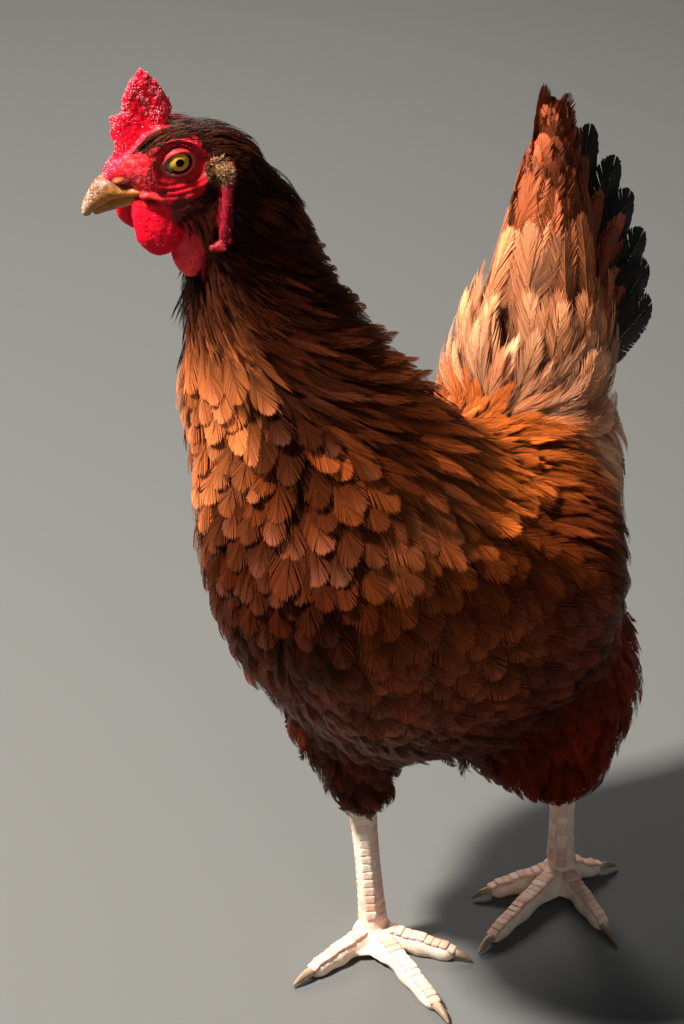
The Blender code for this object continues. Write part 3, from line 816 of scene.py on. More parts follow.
@dataclass
class Face:
    """The bare face: skull, beak sockets, lobes, lids and folds, all in the head's frame."""

    skull: Rows = (
        (27, 0, -5.2, 4.4, 3.0, 3.4), (20, 0, -3.6, 7.4, 5.8, 6.4), (10, 0, -4, 12.4, 12.6, 15),
        (0, 0, -3, 14.2, 13.0, 19), (-12, 0, -5, 16.4, 12.4, 21), (-29, 0, -17, 17.0, 15, 14),
    )
    wattle: Rows = (
        (12.6, 4.4, -10, 4.8, 3.2, 3.2), (13.2, 7.6, -18, 6.8, 2.7, 2.7), (12.0, 9.6, -27.5, 8.6, 2.2, 2.2),
        (13.0, 9.4, -35.4, 5.0, 1.7, 1.7),
    )
    far_wattle: Rows = (
        (14.0, 4.4, -10, 4.8, 3.2, 3.2), (17.0, 7.6, -17, 6.6, 2.7, 2.7), (16.6, 9.6, -25, 7.6, 2.2, 2.2),
        (17.4, 9.4, -31.4, 4.6, 1.7, 1.7),
    )
    earlobe: Rows = (
        (-16.6, 14.0, -5, 1.5, 2.2, 2.2), (-15.0, 16.8, -12, 2.2, 1.9, 1.9),
        (-13.2, 18.7, -18, 2.0, 1.6, 1.6), (-11.2, 19.8, -25, 2.1, 1.5, 1.5),
        (-8.8, 20.6, -31.4, 2.5, 1.6, 1.6),
    )
    dewlap: Rows = (
        (1.0, 3.0, -18, 6.5, 4.0, 4.0), (2.6, 5.0, -30, 6.4, 3.4, 3.4), (3.4, 7.4, -39, 5.8, 3.0, 3.0),
        (3.9, 8.4, -47.0, 3.4, 2.2, 2.2),
    )
    throat: Rows = (
        (-2, 0, -6, 12.5, 11, 12), (-10, 0, -16, 15, 17, 14), (-15, 0, -28, 18.5, 22, 16),
        (-16, 0, -44, 19, 22, 16),
    )
    lobe_ends: tuple[tuple[Triple, Triple], ...] = (
        ((-4.9, 20.4, -32.6), (2.2, 1.7, 2.2)), ((-7.4, 20.8, -32.8), (3.0, 1.8, 2.7)),
    )
    rolls: tuple[tuple[tuple[Triple, ...], float], ...] = (
        (((16.2, 8.8, -11.0), (12.5, 10.7, -11.2), (9.0, 11.6, -12.8), (7.6, 11.9, -13.8)), 1.35),
        (((17, 6.6, -15.4), (14.5, 8.8, -15.2), (10.5, 10.8, -15.2)), 1.2),
        (((11, 10.4, 4.2), (5, 12.4, 6.9), (-2, 13.2, 7.0), (-8, 14.0, 3.6)), 1.2),
    )
    ear: tuple[float, float] = (-12.8, -6.7)
    right_flare: float = 1.18
    eye_radius: float = 7.0
    eye_depth: float = 7.4
    opening: float = 4.3
    orbit: float = 11.7
    orbit_rise: float = 0.25

    def lobe(self, rows: Rows, side: int, folds: float) -> Shape:
        """Returns a hanging lobe on one side, with folds down its faces."""
        flare = side * (self.right_flare if side < 0 and rows is self.earlobe else 1.0)
        placed = in_head([(f, flare * s, u, *rest) for f, s, u, *rest in rows])

        def wobble(along: Array, turn: Array) -> Array:
            """Returns how far the folds swell the lobe."""
            return 1 + folds * np.sin(3 * turn + 5 * along) + 0.5 * folds * np.sin(9 * along + 2 * turn)

        return Loft(placed, 30, 30, (3.0, 5.0), HEAD.ahead, 2.2, wobble).shape()

    def shapes(self) -> list[Shape]:
        """Returns the flesh of the head as loose bodies that the skin will wrap."""
        made = [Loft(in_head(self.skull), 40, 40, (5, 12), HEAD.side).shape()]
        made.append(Loft(in_head(self.throat), 20, 30, (8, 8), HEAD.side).shape())
        for _, side in SIDES:
            made.append(self.lobe(self.wattle if side > 0 else self.far_wattle, side, 0.04))
            made.append(self.lobe(self.earlobe, side, 0.02))
            flare = 1.0 if side > 0 else self.right_flare
            for (ahead, out, up), radii in self.lobe_ends:
                made.append(bead(HEAD.place((ahead, side * out * flare, up)), radii))
            for spots, radius in self.rolls:
                made.append(cord_of_beads(HEAD.place([(f, side * s, u) for f, s, u in spots]), radius))
            made.append(bead(HEAD.place((-12.0, side * 14.6, -6.5)), (4.6, 3.0, 4.6)))
            made.append(bead(HEAD.place((-1.0, side * 9.6, -14.0)), (12.5, 4.6, 11.0), HEAD.axes))
            made.append(bead(HEAD.place((21.4, side * 6.1, -4.6)), (2.7, 1.4, 1.4), HEAD.axes))
        made.append(Loft(in_head(self.dewlap), 30, 30, (4, 6), HEAD.ahead).shape())
        return made

    def hangs(self, spots: Array, rows: Rows, side: int = 0) -> Array:
        """Returns where a hanging lobe lies.

        Args:
            spots: Places in the head's frame.
            rows: The lobe's rows.
            side: The only side that has it, or 0 for both.

        Returns:
            1 on the lobe, 0 away from it.
        """
        table = np.array(rows, float)[::-1]
        up = spots[:, 2]
        centre, away, wide = (np.interp(up, table[:, 2], table[:, k]) for k in (0, 1, 3))
        beside = 1 - ramp((np.abs(spots[:, 0] - centre) - wide) / 2.0, 0.0, 1.0)
        bottom, top = table[0, 2], table[-1, 2]
        tall = ramp(up, bottom - 4.0, bottom - 2.0) * (1 - ramp(up, top - 1.0, top + 2.0))
        reach = spots[:, 1] * side if side else np.abs(spots[:, 1])
        return beside * tall * ramp(reach - away, -4.5, -3.0) * (1 - ramp(reach - away, 5.0, 7.0))

    def wattles(self, spots: Array) -> Array:
        """Returns 1 on the two wattles and 0 away from them."""
        return np.maximum(self.hangs(spots, self.wattle, 1), self.hangs(spots, self.far_wattle, -1))

    def from_ear(self, spots: Array) -> Array:
        """Returns the distance from the middle of the ear tuft, seen from the side."""
        return np.hypot(spots[:, 0] - self.ear[0], spots[:, 2] - self.ear[1])

    def combed(self, spots: Array) -> Array:
        """Returns 1 on the comb and 0 away from it."""
        thin = 1 - ramp(np.abs(spots[:, 1]), 3.8, 5.2)
        above = ramp(spots[:, 2] + 0.9 * spots[:, 0], 8.5, 11.5)
        return thin * above * ramp(spots[:, 0] + 0.25 * spots[:, 2], 0.0, 2.0)

    def bareness(self, spots: Array) -> Array:
        """Returns how bare the skin is at places in the head's frame: 0 under feathers, 1 on the face."""
        ahead, _, up = spots.T
        bare = self.combed(spots)
        uneven = 0.05 * waves(spots, 4.0, 61, 2)
        for centre, radii in (((-0.4, -0.6), (9.7, 9.2)), ((14, -4), (15, 13)), ((3, -9), (12, 7))):
            away = np.hypot((ahead - centre[0]) / radii[0], (up - centre[1]) / radii[1]) + uneven
            bare = np.maximum(bare, 1 - ramp(away, 0.92, 1.08))
        crown = ramp(up + 0.2 * ahead, 5.8, 7.6) * (1 - ramp(np.abs(spots[:, 1]), 11.5, 13.0))
        bare = np.maximum(bare * (1 - crown), self.combed(spots))
        lobes = self.hangs(spots, self.earlobe), self.hangs(spots, self.dewlap, 1)
        return np.maximum.reduce([bare, self.wattles(spots), *lobes])

    def cheek(self, spots: Array) -> Array:
        """Returns 1 on the dark, downy cheek and 0 away from it."""
        ahead, up = spots[:, 0] + 1.0, spots[:, 2] + 22.5
        along, over = 0.55 * ahead + 0.83 * up, 0.83 * ahead - 0.55 * up
        return 1 - ramp(np.hypot(along / 11.5, over / 7.0), 0.75, 1.1)

    def around(self, spots: Array) -> Array:
        """Returns the distance from the middle of the eye, shortened towards its front corner."""
        ahead = 0.978 * spots[:, 0] - 0.208 * (spots[:, 2] + 0.7)
        up = 0.208 * spots[:, 0] + 0.978 * (spots[:, 2] + 0.7)
        corner = np.clip(ahead / np.maximum(np.hypot(ahead, up), 0.01), 0, 1) ** 4
        return np.hypot(0.93 * ahead, 1.08 * up) / (1 + 0.15 * corner)

    def relief(self, shape: Shape) -> Shape:
        """Sinks the eye sockets, raises the lids and presses the folds into the finished skin."""
        spots = HEAD.read(shape.points)
        normals = shape.normals()
        ahead, side, up = spots.T
        facing = np.abs(normals @ HEAD.side)
        near = ramp(np.abs(side), 6.0, 9.0) * ramp(facing, 0.25, 0.6) * ramp(up, -24.0, -20.0)
        around = self.around(spots)
        angle = np.arctan2(up, ahead)
        apart = np.hypot(ahead, up)
        ball = self.eye_depth + np.sqrt(np.maximum(self.eye_radius**2 - apart**2, 0.0))
        ball = ball + 0.35 * hump(apart, 0.0, CORNEA)
        rim = self.opening
        socket = near * (1 - ramp(around, rim + 3.5, rim + 8.0))
        lid = 0.45 + 0.9 * hump(around, rim + 0.95, 0.85)
        plate = np.maximum(ball + lid, self.orbit + self.orbit_rise * (around - rim))
        target = np.where(around < rim - 0.1, ball - 1.6, plate)
        moved = np.sign(side) * (np.abs(side) * (1 - socket) + target * socket)
        spots[:, 1] = np.where(np.abs(side) > 5.0, moved, side)
        below = near * ramp(-np.sin(angle), -0.1, 0.5) * hump(around, 10.0, 3.2)
        folds = 0.28 * np.sin(around * 2 * np.pi / 2.3 + 1.4 * np.sin(3 * angle)) * below
        brows = 0.2 * np.sin(around * 2 * np.pi / 1.9) * near
        brows = brows * ramp(np.sin(angle), 0.2, 0.7) * hump(around, 8.4, 1.6)
        crease = -0.5 * near * hump(up + 0.16 * ahead, -16.2, 0.9)
        crease = crease * ramp(ahead, -10, -4) * (1 - ramp(ahead, 9, 13))
        coarse = 0.16 * waves(spots, 3.4, 5) * self.bareness(spots)
        out = HEAD.place(spots) + normals * (folds + brows + crease + coarse)[:, None]
        return Shape(out, shape.faces)


@dataclass
class Leg:
    """One bare leg: shank, ball of the foot, toes with their pads and webs."""

    word: str
    shank_half: float = 4.9
    toe_half: float = 4.2
    flat: float = 0.12

    def axis(self) -> tuple[Array, Array]:
        """Returns the shank's middle at the foot and under the thigh's hem."""
        low, high = box(f"shank_{self.word}")
        foot = middle(f"foot_{self.word}")
        lean = (low + high) / 2 - foot
        top = foot + lean * 1.85
        return np.array([*foot[:2], low[2] - 4.0]), np.array([*top[:2], high[2] + 6.0])

    def toe(self, toe: str) -> tuple[Array, Array]:
        """Returns where a toe starts, under the middle of the foot, and where its claw starts."""
        foot = middle(f"foot_{self.word}")
        claw = middle(f"claw_{self.word}_{toe}")
        ahead = unit((claw - foot) * (1, 1, 0))
        reach = np.linalg.norm((claw - foot)[:2])
        span = np.linalg.norm((np.subtract(*box(f"claw_{self.word}_{toe}")))[:2])
        end = foot + ahead * (reach - span / 2 + 2.5)
        return np.array([*foot[:2], 0.0]), np.array([*end[:2], 0.0])

    def shank(self) -> Shape:
        """Returns the shank, squarer in front and behind, thicker at its ends."""
        foot, top = self.axis()
        marks = ((0.0, 1.25), (0.12, 1.1), (0.35, 0.97), (0.65, 0.98), (0.88, 1.12), (1.0, 1.25))
        half = self.shank_half
        rows = [(*(foot + (top - foot) * t), half * g, half * g * 1.12, half * g * 1.1) for t, g in marks]

        def wobble(along: Array, turn: Array) -> Array:
            """Returns the shallow steps of the scales round the shank."""
            return 1 + 0.012 * np.sin(along * 90) * np.cos(turn) ** 2

        return Loft(rows, 60, 28, (3, 3), np.array([1.0, 0.0, 0.0]), 2.2, wobble).shape()

    def digit(self, toe: str) -> Shape:
        """Returns a toe with pads under it and knuckles on top."""
        start, end = self.toe(toe)
        slim = 0.84 if toe == "hind" else 1.0
        lift = 2.6 if toe == "hind" else 0.0
        across = np.cross(UP, unit(end - start))
        marks = (
            (0.0, 1.12, 7.0 + lift), (0.3, 1.0, 5.2 + lift), (0.55, 0.98, 4.4), (0.8, 0.84, 3.6),
            (1.0, 0.66, 2.9),
        )
        rows = []
        for t, girth, height in marks:
            half = self.toe_half * girth * slim
            rows.append((*(start + (end - start) * t + UP * height), half, half, half + 1.0))
        joints = 2.5 if toe == "hind" else 3.5

        def wobble(along: Array, _: Array) -> Array:
            """Returns the swelling of the pads and knuckles."""
            return 1 + 0.07 * np.cos(along * 2 * np.pi * joints)

        return Loft(rows, 50, 24, (4, 3.2), across, 2.2, wobble).shape()

    def web(self, one: str, other: str) -> Shape:
        """Returns the fold of skin between two toes."""
        start, end = self.toe(one)
        _, away = self.toe(other)
        first = start + (end - start) * 0.42 + UP * 3.0
        second = start + (away - start) * 0.42 + UP * 3.0
        centre = start + UP * 3.6
        rows = []
        for t in np.linspace(0, 1, 5):
            rim = first + (second - first) * t
            inner = centre + (rim - centre) * (0.52 + 0.3 * abs(2 * t - 1) ** 1.5)
            rows.append((*inner, 5.0, 1.5, 1.5))
        return Loft(rows, 20, 16, (2, 2), unit((first + second) / 2 - centre), 2.0).shape()

    def shapes(self) -> list[Shape]:
        """Returns the leg as loose bodies that the skin will wrap."""
        foot = middle(f"foot_{self.word}")
        made = [self.shank(), bead(foot * (1, 1, 0) + UP * 6.0, (9.6, 9.6, 6.6))]
        made += [self.digit(toe) for toe in TOES]
        made.append(self.web("outer", "middle"))
        made.append(self.web("middle", "inner"))
        return made

    def bent(self, shape: Shape) -> Shape:
        """Flattens what touches the floor."""
        low = shape.points[:, 2]
        sunk = np.minimum(low - 1.2, 0.0)
        shape.points[:, 2] = np.where(low < 1.2, np.maximum(self.flat, 1.2 + sunk * 0.9), low)
        return shape


class Markings:
    """The bird's colours by place, shared by the skin and the coat."""

    chestnut: Colour = (0.16, 0.028, 0.0045)
    # dark hackle colour, also used below as painted shadow under the head
    neck_dark: Colour = (0.019, 0.0024, 0.0007)
    # orange neck patches, partly their own colour, made brighter as painted light on the neck's side
    neck_light: Colour = (0.46, 0.090, 0.017)
    # painted highlight: the bright band at the tail's root, partly its own pale colour
    saddle_highlight: Colour = (0.95, 0.45, 0.25)
    # partly its own colour, partly painted light on the rump and the tail's lower back
    rump: Colour = (0.84, 0.36, 0.17)
    covert: Colour = (0.34, 0.08, 0.02)
    # darker underside: partly the plumage's own colour, partly painted shade under the belly
    under: Colour = (0.052, 0.0034, 0.0003)
    # painted shadow: dark colour down the middle of the chest, where the head and neck shade it
    chest_shadow: Colour = (0.034, 0.0046, 0.0009)
    # painted shade: the dark flank colour stands in for the shade on the side turned from the light
    flank_shade: Colour = (0.092, 0.0078, 0.0009)
    # partly its own colour, partly painted light on the shoulder and the top of the wing
    back: Colour = (0.52, 0.11, 0.015)
    crown: Colour = (0.020, 0.0034, 0.0009)
    tail_black: Colour = (0.012, 0.015, 0.014)
    tail_covert: Colour = (0.20, 0.044, 0.016)
    # painted highlight: these two colours make the pale, pinkish gloss at the feathers' tips
    tip_highlight_gain: Colour = (1.6, 1.7, 2.0)
    barb_gleam: Colour = (0.07, 0.030, 0.019)
    # painted light: a lighter upper breast that stands in for the light on it
    bib: Colour = (0.48, 0.125, 0.036)
    comb_red: Colour = (0.92, 0.004, 0.028)
    face_red: Colour = (0.44, 0.005, 0.012)
    # painted light: a brighter red that stands in for light on the dewlap, which the wattle shades
    dewlap_lit_red: Colour = (0.95, 0.045, 0.06)
    wattle_red: Colour = (0.74, 0.003, 0.02)
    lobe_pink: Colour = (0.18, 0.004, 0.011)
    cheek_dark: Colour = (0.085, 0.014, 0.012)
    lid_pale: Colour = (0.60, 0.13, 0.10)
    gape_pink: Colour = (0.66, 0.05, 0.045)
    leg_pale: Colour = (0.93, 0.75, 0.60)
    leg_red: Colour = (0.66, 0.30, 0.17)
    ear_brown: Colour = (0.09, 0.035, 0.016)
    speckle_pink: Colour = (0.80, 0.36, 0.36)
    nostril_pink: Colour = (0.46, 0.10, 0.045)
    # painted shade: the dark groove round the nostril
    slit_shade: Colour = (0.14, 0.006, 0.008)
    # painted shade: the dark edge where the lids tuck in round the eye
    lid_rim_shade: Colour = (0.03, 0.008, 0.006)

    @classmethod
    def plumage(cls, places: Array) -> Array:
        """Returns the feathers' colour at places in millimetres, painted light and shade included."""
        x = places[:, 0]
        _, back, tall = shares(places, WHOLE)
        fore = 0.14 * (1 - ramp(back, 0.10, 0.24)) * (1 - ramp(x, -32.0, -6.0))
        neck = ramp(tall - fore, 0.625, 0.68) * (1 - ramp(back, 0.30, 0.40))
        tail = ramp(tall, 0.54, 0.62) * ramp(back, 0.6, 0.68)
        # painted light: the rump and the low back of the tail are brightened
        behind = ramp(tall, 0.40, 0.45) * ramp(back, 0.84, 0.90)
        rump = np.maximum(ramp(tall, 0.485, 0.53) * ramp(back, 0.56, 0.65), behind)
        # painted highlight: a bright band round the root of the tail
        saddle_highlight = ramp(tall, 0.48, 0.53) * ramp(back, 0.53, 0.61)
        saddle_highlight = saddle_highlight * (1 - ramp(tall, 0.53, 0.58)) * (1 - ramp(back, 0.78, 0.86))
        # painted shade: the plumage darkens downwards towards the belly
        under = 1 - ramp(tall, 0.27, 0.50)
        # painted shadow: the front of the neck under the head
        shaded = ramp(tall, 0.66, 0.74) * (1 - ramp(back, 0.13, 0.24))
        # painted light: a brighter band on the side of the upper neck
        neck_side_light = 0.9 * ramp(back, 0.17, 0.25) * hump(tall, 0.80, 0.05)
        patch = 0.06 + neck_side_light + 0.6 * ramp(waves(places, 42.0, 3, 2), 0.1, 0.7)
        # painted shadow: the patches fade on the shaded neck front and just under the head
        patch = patch * (1 - 0.95 * shaded) * (1 - 0.8 * ramp(tall, 0.84, 0.88))
        # painted shade: the flanks darken rearwards, where they turn from the light
        rear_shade = ramp(back, 0.20, 0.46)
        # painted light: the top of the wing and the shoulder are made brighter
        wing = ramp(tall - 0.12 * ramp(np.abs(x), 32.0, 44.0) * (1 - ramp(back, 0.5, 0.6)), 0.47, 0.52)
        wing *= ramp(back + 0.002 * np.abs(x), 0.25, 0.32) * (1 - 0.5 * ramp(back, 0.33, 0.42))
        # painted shadow: a dark band down the middle of the chest
        chest_shadow = ramp(x, -62.0, -18.0) * (1 - ramp(x, 13.0, 32.0)) * ramp(tall, 0.47, 0.51)
        chest_shadow *= 1 - ramp(tall - 0.085 * ramp(x, -40.0, -5.0), 0.585, 0.635)
        colour = layered(
            np.tile(cls.chestnut, (len(places), 1)),
            # painted light on the upper breast
            (cls.bib, ramp(tall, 0.55, 0.65) * (1 - ramp(back, 0.16, 0.30))),
            (cls.flank_shade, 0.97 * rear_shade * (1 - ramp(tall, 0.47, 0.53))),
            (cls.back, 0.9 * wing),
            (cls.chest_shadow, 0.92 * chest_shadow * (1 - ramp(back, 0.20, 0.28))),
            (cls.under, 0.98 * under),
            # painted shade: the lower rear is darkened further
            (cls.under, 0.5 * ramp(back, 0.38, 0.62) * (1 - ramp(tall, 0.42, 0.52))),
        )
        # painted light: the low rear and the thighs are brightened
        colour = colour * (1 + 2.2 * ramp(back, 0.45, 0.7) * (1 - ramp(tall, 0.38, 0.46)))[:, None]
        spots = HEAD.read(places)
        # painted shadow: the throat below the chin, where the head shades it
        throat = ramp(-spots[:, 2], 9.0, 14.0) * (1 - ramp(-spots[:, 2], 56.0, 70.0))
        throat = throat * ramp(spots[:, 0], -24.0, -16.0)
        colour = layered(
            colour,
            (blend(cls.neck_dark, cls.neck_light, np.minimum(patch, 1.0)), 0.96 * neck),
            (cls.rump, rump),
            (blend(cls.covert, cls.tail_covert, ramp(tall, 0.56, 0.66)), tail),
            (cls.saddle_highlight, saddle_highlight),
            (cls.crown, ramp(spots[:, 2], -18.0, -6.0) * hump(spots[:, 0], -12.0, 24.0)),
            # painted shadow under the chin
            (cls.neck_dark, 0.85 * throat),
        )
        return colour * (1 + 0.16 * waves(places, 30.0, 8))[:, None]

    @classmethod
    def hide(cls, places: Array, face: Face) -> Array:
        """Returns the skin's colour at places in millimetres."""
        spots = HEAD.read(places)
        ahead, side, up = spots.T
        across = np.abs(side)
        mottle = waves(spots, 4.5, 21)
        speckle = ramp(waves(spots, 1.5, 22, 2), 0.25, 0.7)
        bare, comb = face.bareness(spots), face.combed(spots)
        lobes, around = face.hangs(spots, face.earlobe), face.around(spots)
        ear = ramp(across, 8.0, 10.0) * (1 - ramp(face.from_ear(spots), 4.4, 5.6))
        beside = ramp(across, 7.0, 9.0)
        lid = beside * hump(around, face.opening + 0.65, 0.65) * (1 - 0.6 * ramp(up, -1.0, 3.0))
        rim = beside * (1 - ramp(around, face.opening - 0.35, face.opening + 0.2))
        gape = beside * hump(up - 0.22 * (ahead - 12.5) + 11.6, 0.0, 1.6) * ramp(ahead, 6.5, 9.0)
        nostril = np.hypot((ahead - 21.6) / 2.7, (up + 4.6) / 1.6)
        open_side = ramp(across, 3.0, 4.5)
        lores = hump(ahead, 15.5, 5.0) * hump(up, -3.0, 5.0) * ramp(across, 5.0, 8.0)
        cheek = beside * face.cheek(spots) * (1 - lobes)
        skin = layered(
            np.tile(cls.face_red, (len(places), 1)) * (1 + 0.25 * mottle)[:, None],
            (cls.comb_red, comb),
            (cls.lobe_pink, lobes),
            # painted light on the dewlap
            (cls.dewlap_lit_red, face.hangs(spots, face.dewlap, 1)),
            (cls.wattle_red, ramp(-up, 14.0, 17.0) * face.wattles(spots)),
            (cls.lid_pale, 0.8 * lid),
            # painted shade at the lids' inner edge
            (cls.lid_rim_shade, rim),
            (cls.gape_pink, 0.6 * gape),
            # painted shade in the nostril's groove
            (cls.slit_shade, 0.9 * open_side * hump(nostril, 1.25, 0.22)),
            (cls.nostril_pink, open_side * (1 - ramp(nostril, 0.85, 1.05))),
            (cls.speckle_pink, 0.15 * speckle * np.clip(lores + 0.25 * comb, 0, 1)),
            (cls.cheek_dark, 0.9 * cheek),
            (cls.ear_brown, ear),
        )
        colour = blend(cls.plumage(places) * 0.5, skin, np.maximum.reduce([bare, cheek, ear]))
        return blend(colour, cls.legs(places), 1 - ramp(above_hem(places), 3.0, 8.0))

    @classmethod
    def legs(cls, places: Array) -> Array:
        """Returns the colour of the legs' bare skin."""
        blotch = ramp(waves(places, 9.0, 31), 0.0, 0.9)
        flush = hump(places[:, 2], 24.0, 12.0)
        return blend(cls.leg_pale, cls.leg_red, np.clip(0.25 * blotch + 0.2 * flush, 0, 1))


@dataclass
class Skin:
    """The one skin over head, neck, trunk, tail root, wings, thighs and legs."""

    body_cell: float = 2.6
    head_cell: float = 0.56
    leg_cell: float = 0.95
    coat_depth: float = 8.5
    crown_depth: float = 2.0
    bib_fullness: float = 3.5
    nape_hollow: float = 2.6
    least_kept: float = 0.6
    smoothing: int = 60
    filling: int = 36
    bib_smoothing: int = 220
    fluffs: tuple[tuple[Triple, Triple], ...] = (
        ((38, 45, 108), (28, 33, 42)), ((14, 34, 98), (30, 38, 34)),
    )
    body_nodes: tuple[str, ...] = (
        "neck_upper", "neck_middle", "neck_cape", "trunk", "tail_base",
        *(f"{limb}_{word}" for limb in ("wing", "thigh") for word, _ in SIDES),
    )

    def __post_init__(self) -> None:
        """Makes the head's and legs' own builders."""
        self.face = Face()
        self.comb = Comb()
        self.legs = [Leg(word) for word, _ in SIDES]

    def depth(self, places: Array) -> Array:
        """Returns how deep under the tips of the feathers the skin lies."""
        depth = np.full(len(places), self.coat_depth)
        depth *= 1 - 0.7 * ramp(places[:, 2], box("neck_middle")[1][2] - 5, box("neck_upper")[1][2])
        depth *= 1 - 0.55 * (1 - ramp(above_hem(places), 6.0, 26.0))
        return depth

    def body(self) -> Shape:
        """Returns the feathered part of the skin."""
        parts = [Shape.of_node(node, 0.5) for node in self.body_nodes]
        parts += [bead(np.array(centre), radii) for centre, radii in self.fluffs]
        shape = Shape.joined(parts).remeshed(self.body_cell).relaxed(self.smoothing, 1.0, 0.97)
        _, along, high = shape.points.T
        shape = shape.filled(self.filling, 1 - ramp(along, 0.0, 24.0) * ramp(high, 180.0, 200.0))
        bib = ramp(high, 120.0, 160.0) * (1 - ramp(high, 275.0, 310.0)) * (1 - ramp(along, -40.0, 0.0))
        shape = shape.relaxed(self.bib_smoothing, bib)
        shape.points += shape.normals() * (self.bib_fullness * bib)[:, None]
        shape = self.tapered(shape)
        for _ in range(2):
            shape.points -= shape.normals() * self.depth(shape.points)[:, None] / 2
            shape = shape.relaxed(12, 1.0, 0.9)
        return shape

    def tapered(self, shape: Shape, reach: float = 30.0, share: float = 0.42) -> Shape:
        """Returns the body with its right thigh narrowed towards the shank."""
        axis, hem = middle("shank_right")[:2], box("thigh_right")[0][2]
        across = shape.points[:, :2] - axis
        near = 1 - ramp(np.linalg.norm(across, axis=1), 44.0, 52.0)
        near = near * (1 - ramp(shape.points[:, 1], -8.0, 4.0))
        pull = share * near * (1 - ramp(shape.points[:, 2], hem, hem + reach))
        points = shape.points.copy()
        points[:, :2] -= across * pull[:, None]
        return Shape(points, shape.faces)

    def head(self) -> Shape:
        """Returns the head's part of the skin, sculpted."""
        rng = np.random.default_rng(SEED)
        shape = Shape.joined(self.face.shapes() + self.comb.shapes(rng)).remeshed(self.head_cell)
        comb = self.face.combed(HEAD.read(shape.points))
        shape = shape.relaxed(6, 1 - 0.75 * comb, 0.5)
        spots = HEAD.read(shape.points)
        hidden = (1 - self.face.bareness(spots)) * ramp(-spots[:, 0], 2.0, 10.0)
        shape.points -= shape.normals() * (self.crown_depth * hidden)[:, None]
        return self.face.relief(shape)

    def hollowed(self, shape: Shape) -> Shape:
        """Returns a shape pressed in behind the crown, where the head runs on into the neck."""
        spots = HEAD.read(shape.points)
        share = hump(np.hypot(spots[:, 0] + 29.0, spots[:, 2] + 1.0), 0.0, 8.0)
        return Shape(shape.points - shape.normals() * (self.nape_hollow * share)[:, None], shape.faces)

    def leg(self, leg: Leg) -> Shape:
        """Returns one leg's part of the skin."""
        shape = Shape.joined(leg.shapes()).remeshed(self.leg_cell).relaxed(8, 1.0, 0.6)
        return leg.bent(shape)

    def united(self, parts: Sequence[Shape]) -> Shape:
        """Returns the parts as one closed body."""
        objects = [linked(f"part_{k}", part.mesh(f"part_{k}")) for k, part in enumerate(parts)]
        for other in objects[1:]:
            modifier = objects[0].modifiers.new("union", "BOOLEAN")
            modifier.operation = "UNION"
            modifier.solver = "MANIFOLD"
            modifier.object = other
        shape = Shape.taken_from(plain_mesh(objects[0]))
        for other in objects[1:]:
            bpy.data.objects.remove(other)
        if len(shape.faces) < self.least_kept * sum(len(part.faces) for part in parts):
            raise ValueError("the union lost a part of the skin")
        return shape

    def build(self) -> Shape:
        """Makes the skin's object and keeps the feathered part for the coat.

        Returns:
            The whole skin's shape.
        """
        parts = [*map(self.hollowed, (self.body(), self.head())), *map(self.leg, self.legs)]
        self.felt = Shape.joined(parts[:2])
        LOG.info("skin parts of %s triangles", [len(part.faces) for part in parts])
        shape = self.united(parts)
        made = finished("skin", shape, HideFinish("bare_skin").make())
        colour_points(made, "Hide", Markings.hide(shape.points, self.face))
        nodes = [*self.body_nodes, "head", "comb", "dewlap"]
        for word, _ in SIDES:
            nodes += [f"wattle_{word}", f"earlobe_{word}", f"shank_{word}", f"foot_{word}"]
            nodes += [f"toe_{word}_{toe}" for toe in TOES]
        settle(made, "red_skin", *nodes)
        return shape


# ---------------------------------------------------------------- pieces


def finished(name: str, shape: Shape, material: Material) -> Object:
    """Returns an object in the scene, made of a shape and a material."""
    made = linked(name, shape.mesh(name))
    made.data.materials.append(material)
    return made


def colour_points(made: Object, name: str, colours: Array) -> None:
    """Stores a colour for each point of an object's mesh."""
    attribute = made.data.attributes.new(name, "FLOAT_COLOR", "POINT")
    full = np.ones((len(colours), 4), np.float32)
    full[:, :3] = np.clip(colours, 0.0, 1.0)
    attribute.data.foreach_set("color", full.ravel())


def map_corners(made: Object, name: str, spots: Array, faces: Array) -> None:
    """Stores a UV map from one pair of values for each point."""
    layer = made.data.uv_layers.new(name=name)
    layer.data.foreach_set("uv", spots[faces.ravel()].astype(np.float32).ravel())


def settle(made: Object, slot: str, *nodes: str) -> None:
    """Rides a piece on the body, hides the CAD nodes that it stands for and logs its size."""
    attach(made, "root")
    if nodes:
        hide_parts(*nodes)
    LOG.info("%s: %d points, %d faces", made.name, len(made.data.vertices), len(made.data.polygons))


# ---------------------------------------------------------------- eyes, bill and claws


@dataclass
class Eye:
    """One eyeball, its clear front a little raised."""

    word: str
    side: int
    radius: float = 7.0
    bulge: float = 0.5
    rings: int = 40
    sides: int = 64

    def build(self) -> None:
        """Makes the eyeball and its flat map."""
        turn = np.linspace(0, 2 * np.pi, self.sides, endpoint=False)
        polar = np.pi * np.linspace(0, 1, self.rings + 2)[1:-1] ** 1.3
        away = self.radius * np.sin(polar)
        out = self.radius * np.cos(polar) + self.bulge * hump(away, 0.0, CORNEA) * (polar < np.pi / 2)
        grid = np.stack([
            away[:, None] * np.cos(turn),
            np.broadcast_to(out[:, None] * self.side, (self.rings, self.sides)),
            away[:, None] * np.sin(turn),
        ], -1)
        poles = [[0, self.side * (self.radius + self.bulge), 0], [0, -self.side * self.radius, 0]]
        shape = Loft([]).closed(grid, np.array(poles[0]), np.array(poles[1]))
        flat = shape.points[:, (0, 2)]
        corner = ramp(flat[:, 0], 2.7, 3.3) * hump(flat[:, 1], -0.9, 2.6)
        shape = Shape(shape.points @ HEAD.axes + middle(f"eye_{self.word}"), shape.faces)
        made = finished(f"eyeball_{self.word}", shape, EyeFinish(f"eye_{self.word}").make())
        colour_points(made, "Corner", np.repeat(corner[:, None], 3, 1))
        map_corners(made, "Iris", flat / EYE_MAP, shape.faces)
        settle(made, "eyeball", f"eye_{self.word}")


